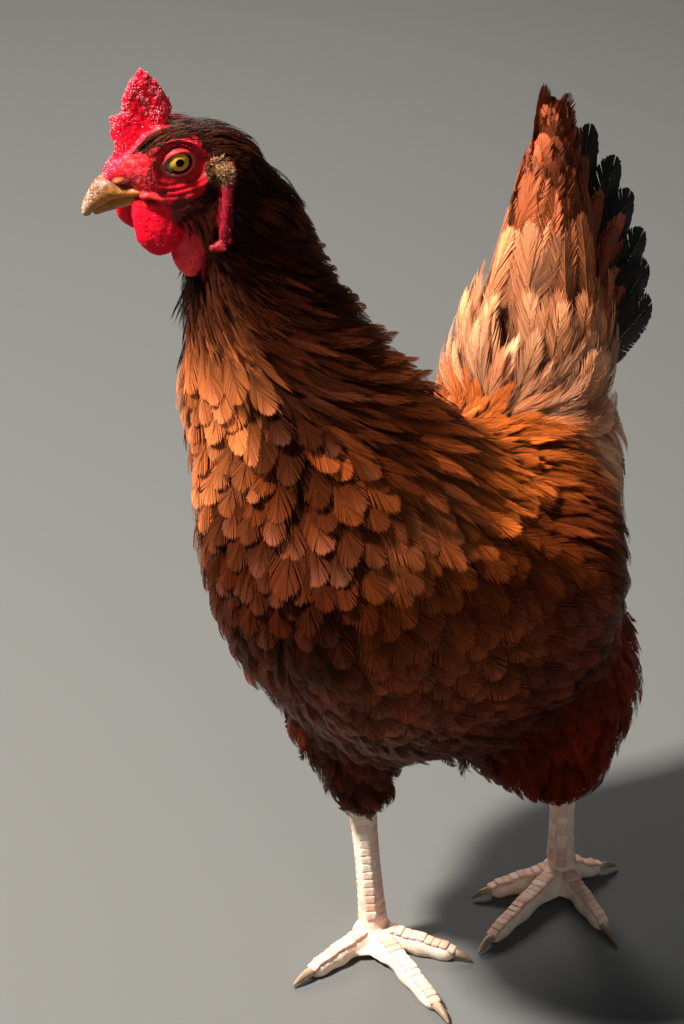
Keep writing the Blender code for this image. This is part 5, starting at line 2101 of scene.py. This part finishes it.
    def spines(self, shafts: Shafts, roots: Roots, tints: Array) -> Vanes:
        """Returns the shafts as low ridges."""
        plume = self.plume
        count = len(roots)
        stations, ridge = 5, 3
        share = np.linspace(0, 0.95, stations)[None, :, None] * np.ones((count, 1, ridge))
        thick = (0.045 * plume.width**0.7 * roots.sizes)[:, None] * np.linspace(1, 0.35, stations)[None]
        x = thick[..., None] * np.array([-1.0, 0.0, 1.0])
        high = thick[..., None] * np.array([0.0, 1.2, 0.0]) + 0.08
        length = (plume.length * roots.sizes)[:, None, None]
        points = self.placed(shafts, x, share, high, length)
        tris = []
        for k in range(stations - 1):
            for a in (ridge * k, ridge * k + 1):
                tris += [(a, a + 1, a + ridge + 1), (a, a + ridge + 1, a + ridge)]
        each = stations * ridge
        faces = (np.array(tris)[None] + (np.arange(count) * each)[:, None, None]).reshape(-1, 3)
        patch = self.patch(roots, x / plume.width, share)
        barb = np.stack([share, x / plume.width], -1).reshape(-1, 2)
        colours = self.tinted(tints * 0.8, share, np.ones(share.shape))
        return Vanes(points.reshape(-1, 3), faces, barb, patch, colours)


@dataclass
class Lie:
    """Which way the feathers run and of what kind they are, by place and CAD node."""

    nodes: tuple[str, ...] = Skin.body_nodes + ("head",)
    smoothing: int = 14

    def __post_init__(self) -> None:
        """Finds the neck's axis and the nodes' shapes."""
        parts = [Shape.of_node(node, 0.0) for node in self.nodes]
        self.counts = np.repeat(np.arange(len(parts)), [len(part.faces) for part in parts])
        self.solid = Surface(Shape.joined(parts))
        self.spine = np.array([
            HEAD.place((-16.0, 0.0, -12.0)), middle("neck_upper"), middle("neck_middle"),
            middle("neck_cape"), middle("trunk") * (1, 0, 1) + (0, -50, 40),
        ])

    def labels(self, places: Array) -> Array:
        """Returns the number of the nearest CAD node for each place."""
        _, faces = self.solid.nearest(places)
        return self.counts[faces]

    def core(self, heights: Array) -> Array:
        """Returns the neck's axis at the given heights."""
        spine = self.spine[np.argsort(self.spine[:, 2])]
        return np.stack([np.interp(heights, spine[:, 2], spine[:, k]) for k in range(3)], -1)

    def neck_way(self, places: Array) -> Array:
        """Returns the hackles' way: down the neck, wound round it where the head is turned."""
        ahead = unit(self.core(places[:, 2] - 12) - self.core(places[:, 2] + 12))
        away = (places - self.core(places[:, 2])) * (1, 1, 0)
        round_ = np.cross(UP, unit(away))
        low, high = self.spine[3, 2], self.spine[0, 2]
        tall = (places[:, 2] - low) / (high - low)
        wound = np.interp(tall, (-0.3, 0.0, 0.3, 0.55, 0.8, 1.0), (0.1, 0.25, 1.2, 2.4, 1.1, 0.2))
        left = 0.55 + 0.45 * np.clip(unit(away) @ np.array([0.8, -0.2, 0.0]), -1, 1)
        front = np.clip(unit(away) @ np.array([-0.5, -0.86, 0.0]), 0, 1)
        wound = wound * left * (1 - 0.5 * front)
        return ahead + round_ * wound[:, None]

    def front(self, places: Array) -> Array:
        """Returns how far each place faces the front of the neck, from 1 there to -1 at its back."""
        away = (places - self.core(places[:, 2])) * (1, 1, 0)
        return unit(away) @ np.array([-0.35, -0.94, 0.0])

    def hackle_hem(self, places: Array) -> Array:
        """Returns how low the narrow neck feathers reach: high in front, low behind."""
        heights = (236.0, 254.0, 274.0, 300.0, 312.0)
        return np.interp(self.front(places), (-1.0, 0.0, 0.4, 0.75, 1.0), heights)

    def body_way(self, places: Array) -> Array:
        """Returns the way on the trunk and wings: down the breast, back over the flanks."""
        _, back, _ = shares(places, box("trunk"))
        backward = np.interp(back, (0.0, 0.15, 0.4, 0.7, 1.0), (0.25, 0.4, 0.8, 0.8, 0.7))
        down = np.interp(back, (0.0, 0.15, 0.4, 0.7, 1.0), (1.0, 0.95, 0.62, 0.75, 1.0))
        outward = np.tanh(places[:, 0] / 14.0) * np.interp(back, (0.0, 0.3, 1.0), (0.05, 0.3, 0.3))
        return np.stack([outward, backward, -down], -1)

    def ways(self, places: Array, normals: Array, labels: Array) -> Array:
        """Returns the way that feathers run at each place."""
        name = np.array(self.nodes)[labels]
        way = self.body_way(places)
        neck = np.char.startswith(name, "neck")
        hem = self.hackle_hem(places)
        down = blend(way, self.neck_way(places), ramp(places[:, 2] - hem, -22.0, 6.0))
        way[neck] = down[neck]
        spots = HEAD.read(places)
        nape = ramp(-spots[:, 0], 14.0, 26.0)
        beside = ramp(np.abs(spots[:, 1]), 5.0, 10.0) * ramp(spots[:, 0], -12.0, -4.0)
        over = blend(-HEAD.ahead - 0.1 * HEAD.crown, 0.7 * HEAD.crown - HEAD.ahead, beside)
        crown = blend(over, -HEAD.crown - 0.5 * HEAD.ahead, nape)
        cheek = -HEAD.ahead * 0.75 - HEAD.crown * 0.6
        head = name == "head"
        way[head] = blend(crown, cheek, ramp(-spots[:, 2], 0.0, 6.0))[head]
        tail = name == "tail_base"
        tall = shares(places, box("tail_base"))[2]
        up = blend(np.array([0.0, 1.0, 0.25]), np.array([0.0, 0.22, 1.0]), ramp(tall, 0.0, 0.25))
        hang = ramp(normals[:, 1], 0.3, 0.7) * (1 - ramp(tall, 0.3, 0.5))
        up = blend(up, np.array([0.0, 0.1, -1.0]), hang)
        way[tail] = up[tail]
        for word, lean in (("left", (-0.12, 0.2, -1.0)), ("right", (0.0, 0.45, -0.9))):
            way[name == f"thigh_{word}"] = lean
        rump = (name == "trunk") & (normals[:, 1] > 0.45)
        way[rump] = (0.0, 0.3, -1.0)
        return way

    def kinds(self, places: Array, normals: Array, labels: Array) -> tuple[Array, Array]:
        """Returns the kind of feather at each place, as its number in Kind, and its relative size."""
        order = list(Kind)
        name = np.array(self.nodes)[labels]
        _, back, tall = shares(places, box("trunk"))
        front, hem = self.front(places), self.hackle_hem(places)
        kind = np.full(len(places), order.index(Kind.BREAST))
        size = np.ones(len(places))

        def give(mask: Array, chosen: Kind, scale: Array | float = 1.0) -> None:
            """Sets the kind and the size where the mask holds."""
            kind[mask] = order.index(chosen)
            size[mask] = np.broadcast_to(scale, len(places))[mask]

        trunk = name == "trunk"
        wing = np.char.startswith(name, "wing")
        give(trunk, Kind.BREAST, 0.86 + 0.2 * ramp(back, 0.0, 0.35))
        give(trunk & (back > 0.28), Kind.COVERT)
        give(trunk & (tall < 0.28) & (back > 0.22), Kind.FLUFF, 0.85)
        give(trunk & (normals[:, 2] > 0.6) & (back > 0.3), Kind.SADDLE)
        give(trunk & (back > 0.72), Kind.FLUFF)
        give(wing, Kind.COVERT, 1.0)
        give(wing & (back > 0.52), Kind.FLANK)
        give((trunk | wing) & (normals[:, 2] > 0.45) & (back > 0.42), Kind.SADDLE)
        upper = name == "neck_upper"
        give(upper, Kind.NAPE, 0.95)
        give(upper & (front > 0.55), Kind.THROAT)
        give(name == "neck_middle", Kind.HACKLE, 0.8)
        give((name == "neck_middle") & (front > 0.6), Kind.NAPE, 1.1)
        give(name == "neck_cape", Kind.HACKLE, 1.0)
        below = np.char.startswith(name, "neck") & (places[:, 2] < hem)
        give(below, Kind.BIB, 0.9 + 0.25 * ramp(hem - places[:, 2], 0.0, 60.0))
        give(below & (front < 0.45), Kind.COVERT, 0.9)
        grown = 0.55 + 0.45 * ramp(above_hem(places), 6.0, 34.0)
        give(np.char.startswith(name, "thigh"), Kind.THIGH, grown)
        tail = name == "tail_base"
        give(tail, Kind.TAIL_SOFT, 0.95)
        high = shares(places, box("tail_base"))[2]
        give(tail & (high > 0.3), Kind.TAIL_LONG, 1 - 0.4 * ramp(high, 0.5, 0.74))
        give(tail & (high > 0.74), Kind.TAIL_TIP)
        spots = HEAD.read(places)
        head = (name == "head") | (spots[:, 2] > -10) & (spots[:, 0] > -30)
        give(head, Kind.CROWN, 1 + 1.3 * ramp(-spots[:, 0], 8.0, 26.0))
        cheek = head & (spots[:, 2] < -9) & (spots[:, 0] > -14)
        give(cheek, Kind.CHEEK, 1.0)
        return kind, size


@dataclass
class Atlas:
    """An unwrap of the skin: one flat chart for each part of the body and each side that it faces."""

    margin: float = 7.0
    growth: float = 1.02

    def spots(self, places: Array, normals: Array, labels: Array) -> Array:
        """Returns where places lie on the map.

        Args:
            places: Places on the skin in millimetres.
            normals: Which way the skin faces there.
            labels: The number of the body's part there.

        Returns:
            Two numbers from 0 to 1 for each place.
        """
        side = np.abs(normals).argmax(axis=1)
        facing = np.take_along_axis(normals, side[:, None], 1)[:, 0] > 0
        plane = np.array([(1, 2), (0, 2), (0, 1)])[side]
        flat = np.take_along_axis(places, plane, 1)
        names, chart = np.unique(labels * 6 + side * 2 + facing, return_inverse=True)
        low = np.array([flat[chart == k].min(axis=0) for k in range(len(names))]) - self.margin
        size = np.array([flat[chart == k].max(axis=0) for k in range(len(names))]) + self.margin - low
        width = math.sqrt(size.prod(axis=1).sum())
        corners, height = self.shelves(size, width)
        while height > width:
            width *= self.growth
            corners, height = self.shelves(size, width)
        return (flat - low[chart] + corners[chart]) / width

    def shelves(self, size: Array, width: float) -> tuple[Array, float]:
        """Lays rectangles out in rows, tallest first, and returns their corners and the rows' height."""
        corners = np.zeros_like(size)
        across, floor, tall = 0.0, 0.0, 0.0
        for k in np.argsort(-size[:, 1], kind="stable"):
            if across + size[k, 0] > width:
                across, floor, tall = 0.0, floor + tall, 0.0
            corners[k] = across, floor
            across += size[k, 0]
            tall = max(tall, size[k, 1])
        return corners, floor + tall


class Pelt:
    """The skin's outside as one plain surface that knows how the feathers lie on it."""

    tries = 7  # places tried for each one that the spacing asks for
    crowding = 0.8  # least gap between roots, as a share of the spacing
    shortened = 0.45  # size of feathers that would else reach over bare skin
    root_depth = 0.6  # how far under the surface a shaft starts
    steadiness = 0.75  # how much of its way a shaft keeps from place to place

    def __init__(self, shape: Shape, face: Face, cell: float = 1.9) -> None:
        """Finds the feathers' way and kind all over the surface.

        Args:
            shape: The feathered parts of the skin.
            face: The bare face, which grows none.
            cell: The size of the surface's cells in millimetres.
        """
        self.lie = Lie()
        self.face = face
        shape = shape.remeshed(cell).relaxed(6, 1.0, 0.5)
        spots = HEAD.read(shape.points)
        self.shape = shape.filled(45, ramp(-spots[:, 0], 16.0, 22.0) * ramp(spots[:, 2], -60.0, -45.0))
        self.surface = Surface(self.shape)
        normals = self.smoothed(self.surface.point_normals, 4)
        self.normals = unit(normals)
        self.labels = self.lie.labels(self.shape.points)
        ways = self.tangent(unit(self.lie.ways(self.shape.points, self.normals, self.labels)), self.normals)
        for _ in range(3):
            ways = self.tangent(self.smoothed(ways, self.lie.smoothing), self.normals)
        self.ways = ways
        kinds, sizes = self.lie.kinds(self.shape.points, self.normals, self.labels)
        first = self.shape.faces[:, 0]
        self.face_kinds, self.face_sizes = kinds[first], sizes[first]
        self.bare = face.bareness(HEAD.read(self.shape.points))[first]

    def tangent(self, ways: Array, normals: Array) -> Array:
        """Returns ways laid along the surface."""
        dot = np.einsum("...i,...i->...", ways, normals)[..., None]
        return unit(ways - normals * dot)

    def smoothed(self, values: Array, rounds: int) -> Array:
        """Returns vectors mixed with their neighbours' again and again."""
        return Shape(values, self.shape.faces).relaxed(rounds, 1.0).points

    def read(self, places: Array) -> tuple[Array, Array, Array, Array]:
        """Returns the nearest spots on the surface, their normals, ways and labels."""
        spots, faces = self.surface.nearest(places)
        corners = self.shape.faces[faces]
        gap = np.linalg.norm(self.shape.points[corners] - spots[:, None], axis=-1)
        weight = 1 / (gap + 0.05)
        weight /= weight.sum(axis=1, keepdims=True)
        normals = unit((self.normals[corners] * weight[..., None]).sum(axis=1))
        ways = self.tangent((self.ways[corners] * weight[..., None]).sum(axis=1), normals)
        return spots, normals, ways, self.labels[corners[:, 0]]

    def sow(self, number: int, plume: Plume, rng: np.random.Generator) -> tuple[Array, Array]:
        """Scatters the roots of one kind of feather.

        Args:
            number: The kind's number.
            plume: The kind.
            rng: The source of chance.

        Returns:
            The roots' places and relative sizes.
        """
        faces = np.flatnonzero((self.face_kinds == number) & (self.bare < 0.3))
        if len(faces) == 0:
            return np.zeros((0, 3)), np.zeros(0)
        corners = self.shape.points[self.shape.faces[faces]]
        first, second, third = corners.swapaxes(0, 1)
        area = np.linalg.norm(np.cross(second - first, third - first), axis=1) / 2
        count = int(self.tries * area.sum() / plume.spacing**2) + 1
        picked = rng.choice(len(faces), count, p=area / area.sum())
        places = (corners[picked] * rng.dirichlet((1, 1, 1), count)[..., None]).sum(axis=1)
        sizes = self.face_sizes[faces[picked]]
        keep = self.spread(places, plume.spacing * self.crowding * sizes)
        places, sizes = places[keep], sizes[keep] * rng.normal(1.0, 0.06, len(keep))
        spots, _, ways, _ = self.read(places)
        for part in (0.5, 1.0):
            ahead = spots + ways * (plume.length * sizes * part)[:, None]
            bare = self.face.bareness(HEAD.read(ahead)) > 0.4
            sizes = np.where(bare, self.shortened * sizes, sizes)
        return places, sizes

    def spread(self, places: Array, gaps: Array) -> Array:
        """Returns the numbers of places that keep their gap to all that come before them."""
        cell = float(gaps.max())
        grid: dict[tuple[int, int, int], list[int]] = {}
        keys = np.floor(places / cell).astype(int)
        keep = []
        around = [(i, j, k) for i in (-1, 0, 1) for j in (-1, 0, 1) for k in (-1, 0, 1)]
        spots, squares, cells = places.tolist(), (gaps**2).tolist(), keys.tolist()
        for n, (x, y, z) in enumerate(spots):
            a, b, c = cells[n]
            near = [m for i, j, k in around for m in grid.get((a + i, b + j, c + k), ())]
            others = (spots[m] for m in near)
            if all((x - p) ** 2 + (y - q) ** 2 + (z - r) ** 2 > squares[n] for p, q, r in others):
                grid.setdefault((a, b, c), []).append(n)
                keep.append(n)
        return np.array(keep, int)

    def shafts(self, plume: Plume, roots: Roots, rng: np.random.Generator, stations: int = 8) -> Shafts:
        """Traces the feathers' shafts over the surface.

        Args:
            plume: The kind of feather.
            roots: Where they grow.
            rng: The source of chance.
            stations: How many places make a shaft.

        Returns:
            The shafts.
        """
        count = len(roots)
        step = (plume.length * roots.sizes / (stations - 1))[:, None]
        spot, normal, way, _ = self.read(roots.places)
        turn = rng.normal(0, plume.stray, count)[:, None]
        way = way * np.cos(turn) + np.cross(normal, way) * np.sin(turn)
        if plume.stiff:
            way = unit(way + TAIL_WAY * 2.5)
        spots, normals = [], []
        for _ in range(stations):
            if not plume.stiff:
                spot, normal, field, _ = self.read(spot)
                way = self.tangent(self.steadiness * way + (1 - self.steadiness) * field, normal)
            spots.append(spot)
            normals.append(normal)
            spot = spot + way * step
        spots, normals = np.stack(spots, 1), np.stack(normals, 1)
        share = np.linspace(0, 1, stations)[None, :]
        lift = (plume.lift * np.clip(rng.normal(1, 0.09, count), 0.7, 1.3))[:, None]
        height = (lift + self.root_depth) * np.sin(share * np.pi / 2) ** 0.9 - self.root_depth
        loose = (rng.random(count) < plume.wisps) * rng.uniform(0.02, 0.13, count) * plume.length
        height = height + loose[:, None] * share**2.5
        places = spots + normals * height[..., None]
        forward = unit(np.gradient(places, axis=1))
        outward = self.tangent(normals, forward)
        roll = rng.normal(0, 0.12, count)[:, None, None]
        outward = unit(outward + np.cross(forward, outward) * roll)
        return Shafts(places, outward, forward)


@dataclass
class Tail:
    """The long tail feathers: a folded fan of black ones under rows of brown coverts."""

    main: Plume = Plume(
        128.0, 28.0, 90, 0.0, 0.0, 0.9, 0.72, 0.16, 0.03, 0.3, 0.2, 0.012, 0.0, 0.03, 0.2, 0.0, 0.93,
        steps=2, fill=1.9, bare=0.12,
    )
    covert: Plume = Plume(
        90.0, 19.0, 60, 0.0, 0.0, 1.0, 0.62, 0.26, 0.05, 0.4, 0.3, 0.03, 0.0, 0.05, 0.35, 0.25, 0.9,
        steps=2, fill=1.7, bare=0.15,
    )
    angles: tuple[float, float] = (16.0, 84.0)
    lengths: tuple[float, float] = (60.0, 128.0)
    half_spread: float = 21.0
    lean: float = -9.0
    stations: int = 9
    feathers: int = 7
    layers: tuple[tuple[int, float, float, float, float, float], ...] = (
        (8, 0.20, 1.04, 0.78, 1.0, 3.6), (8, 0.12, 1.00, 0.66, 0.82, 5.6), (8, 0.04, 1.04, 0.55, 0.62, 7.6),
    )

    def plan(self) -> list[tuple[Plume, float, float, float, float, float]]:
        """Returns each long feather's kind, side, place in the sweep, reach, way outwards and shade."""
        rng = np.random.default_rng(SEED + 5)
        made = []
        for _, side in SIDES:
            for k in range(self.feathers):
                sweep = (k + 0.5) / self.feathers
                made.append((self.main, side, sweep, 1.0, 1.2 + 0.3 * (self.feathers - k), 1.0))
            for count, first, last, low, high, out in self.layers:
                for k in range(count):
                    share = (k + rng.uniform(0.2, 0.8)) / count
                    reach = (low + (high - low) * share) * rng.uniform(0.9, 1.03)
                    away = out + rng.uniform(-0.6, 0.6) + 0.15 * k
                    sweep = first + (last - first) * share
                    made.append((self.covert, side, sweep, reach, away, rng.uniform(0.55, 1.3)))
        return made

    def lines(self, plan: list[tuple]) -> Shafts:
        """Returns the shafts of planned feathers."""
        low = box("tail_fan_left")[0]
        root = np.array([0.0, low[1] - 11.5, low[2] - 6.0])
        side, sweep, reach, out = (np.array([row[k] for row in plan])[:, None] for k in range(1, 5))
        part = np.linspace(0.1, 1.0, self.stations)[None] * reach
        inside = np.clip(sweep, 0, 1)
        angle = np.radians(self.angles[0] + (self.angles[1] - self.angles[0]) * sweep)
        run = (self.lengths[0] + (self.lengths[1] - self.lengths[0]) * inside) * part
        apart = self.half_spread * (1 - inside) ** 0.8 * (0.5 + 0.5 * part) + out * (1 - 0.5 * part)
        x = self.lean * part * sweep + side * apart
        places = root + np.stack([x, run * np.cos(angle), run * np.sin(angle)], -1)
        forward = unit(np.gradient(places, axis=1))
        outward = np.broadcast_to(side[..., None] * np.array([1.0, -0.15, 0.0]), places.shape)
        outward = unit(outward - forward * np.einsum("...i,...i->...", outward, forward)[..., None])
        return Shafts(places, outward, forward)

    def anchors(self) -> Array:
        """Returns the places on the tail's root that the long feathers' patches belong to."""
        return self.lines(self.plan()).places[:, self.stations // 3]

    def build(self, patches: Array, rng: np.random.Generator, finish: Material) -> None:
        """Makes the main feathers and the coverts, a piece each.

        Args:
            patches: The feathers' places on the coat's map, in the plan's order.
            rng: The source of chance.
            finish: The feathers' material.
        """
        plan = self.plan()
        black = [k for k, row in enumerate(plan) if row[0] is self.main]
        brown = [k for k, row in enumerate(plan) if row[0] is not self.main]
        for name, chosen, slot in (("main", black, "dark_plumage"), ("coverts", brown, "plumage")):
            rows = [plan[k] for k in chosen]
            shafts = self.lines(rows)
            roots = Roots(shafts.places[:, 0], shafts.forward[:, 0], np.ones(len(rows)), patches[chosen])
            shade = np.array([row[5] for row in rows])[:, None]
            tint = Markings.tail_black if name == "main" else Markings.tail_covert
            tints = np.array(tint) * shade * rng.normal(1, 0.06, (len(rows), 3))
            vanes = Vane(rows[0][0], rng).grow(shafts, roots, tints)
            nodes = ["tail_fan_left", "tail_fan_right"] if name == "main" else []
            vanes.build(f"tail_{name}", finish, slot, *nodes)


@dataclass
class Coat:
    """All feathers that follow the skin."""

    pelt: Pelt
    tail: "Tail"
    finish: FeatherFinish = FeatherFinish("feather")
    most: int = 190_000
    batches: int = 5
    unevenness: float = 0.19
    varied: tuple[Kind, ...] = (Kind.CROWN, Kind.NAPE, Kind.HACKLE, Kind.TAIL_LONG, Kind.TAIL_TIP)

    def build(self) -> None:
        """Sows, grows and colours the feathers and makes them pieces, one or more for each part."""
        rng = np.random.default_rng(SEED + 3)
        finish = self.finish.make()
        sown = []
        for number, kind in enumerate(Kind):
            places, sizes = self.pelt.sow(number, kind.value, rng)
            if len(places):
                sown.append((kind, places, sizes))
        read = [self.pelt.read(places) for _, places, _ in sown]
        tail = self.pelt.read(self.tail.anchors())
        joined = [np.concatenate([row[k] for row in [*read, tail]]) for k in range(4)]
        patches = Atlas().spots(joined[0], joined[1], joined[3])
        groups: dict[int, list[Vanes]] = {}
        first = 0
        for (kind, places, sizes), (spots, _, ways, labels) in zip(sown, read):
            own = patches[first : first + len(places)]
            first += len(places)
            uneven = self.unevenness * (2.0 if kind in self.varied else 1.0)
            tints = Markings.plumage(places) * np.exp(rng.normal(0, uneven, (len(places), 1)))
            LOG.info("%s: %d feathers", kind.name.lower(), len(places))
            for label in np.unique(labels):
                here = labels == label
                whole = Roots(spots[here], ways[here], sizes[here], own[here])
                share = self.most // self.batches // kind.value.triangles
                for start in range(0, len(whole), share):
                    roots = whole.some(slice(start, start + share))
                    shafts = self.pelt.shafts(kind.value, roots, rng)
                    vane = Vane(kind.value, rng).grow(shafts, roots, tints[here][start : start + share])
                    groups.setdefault(int(label), []).append(vane)
        for label, vanes in sorted(groups.items()):
            self.pieces(self.pelt.lie.nodes[label], vanes, finish)
        self.tail.build(patches[first:], rng, finish)

    def pieces(self, node: str, vanes: list[Vanes], finish: Material) -> None:
        """Makes the pieces of one part, each small enough to keep whole."""
        batches: list[list[Vanes]] = [[]]
        count = 0
        for vane in vanes:
            if count + len(vane.faces) > self.most:
                batches.append([])
                count = 0
            batches[-1].append(vane)
            count += len(vane.faces)
        for number, batch in enumerate(batches, 1):
            Vanes.joined(batch).build(f"feathers_{node}_{number}", finish, "plumage")


# ---------------------------------------------------------------- studio


@dataclass
class Studio:
    """The floor, the lights and the camera, placed from the bird's box in millimetres."""

    aim: Triple = (-24.3, -39.6, 3.0)
    distance: float = 1271.7
    azimuth: float = 33.0
    elevation: float = 27.5
    lens: float = 113.2

    def build(self) -> None:
        """Makes the floor, the lights and the camera."""
        centre = (WHOLE[0] + WHOLE[1]) / 2
        self.floor()
        self.lights(centre)
        self.camera(centre)

    def floor(self) -> None:
        """Makes the pale floor."""
        made = bmesh.new()
        bmesh.ops.create_grid(made, x_segments=2, y_segments=2, size=6.0)
        mesh = bpy.data.meshes.new("floor")
        made.to_mesh(mesh)
        made.free()
        mesh.materials.append(FloorFinish().make())
        linked("floor", mesh)

    def lights(self, centre: Array) -> None:
        """Makes a large soft key from the bird's right and front, a fill and a pale surround."""
        for name, towards, gap, size, power, tint in (
            ("key", (-0.46, -0.60, 1.10), 1500.0, 170.0, 78.0, (1.0, 0.95, 0.88)),
            ("rim", (-0.7, 0.6, 0.6), 1600.0, 500.0, 14.0, (1.0, 0.97, 0.92)),
            ("fill", (0.8, -0.7, 0.35), 1800.0, 1200.0, 3.0, (0.92, 0.96, 1.0)),
        ):
            data = bpy.data.lights.new(name, "AREA")
            data.energy = power
            data.size = size * MM
            data.color = tint
            lamp = linked(name, data)
            away = unit(np.array(towards))
            lamp.location = Vector((centre + away * gap) * MM)
            lamp.rotation_euler = Vector(-away).to_track_quat("-Z", "Y").to_euler()
        world = bpy.data.worlds.new("studio")
        world.use_nodes = True
        surround = world.node_tree.nodes["Background"].inputs
        surround["Color"].default_value = (0.9, 0.95, 1.0, 1.0)
        surround["Strength"].default_value = 0.09
        bpy.context.scene.world = world
        bpy.context.scene.view_settings.view_transform = "Standard"

    def camera(self, centre: Array) -> None:
        """Makes the camera."""
        turn, tilt = math.radians(self.azimuth), math.radians(self.elevation)
        away = np.array([math.sin(turn) * math.cos(tilt), -math.cos(turn) * math.cos(tilt), math.sin(tilt)])
        data = bpy.data.cameras.new("camera")
        data.lens = self.lens
        data.clip_start = 0.01
        made = linked("camera", data)
        made.location = Vector((centre + np.array(self.aim) + away * self.distance) * MM)
        made.rotation_euler = Vector(-away).to_track_quat("-Z", "Y").to_euler()
        bpy.context.scene.camera = made


def note_sizes() -> None:
    """Brings the scene's placements up to date."""
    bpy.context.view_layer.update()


def main() -> None:
    """Builds the hen and its studio in order."""
    logging.basicConfig(level=logging.INFO, format="%(message)s")
    skin = Skin()
    shape = skin.build()
    Bill().build()
    Claws().build()
    for word, side in SIDES:
        Eye(word, side).build()
    grains = Grains(shape, skin.face)
    grains.beads()
    grains.bristles()
    Scutes(Surface(shape)).build()
    Coat(Pelt(skin.felt, skin.face), Tail()).build()
    Studio().build()
    note_sizes()


if __name__ == "__main__":
    main()
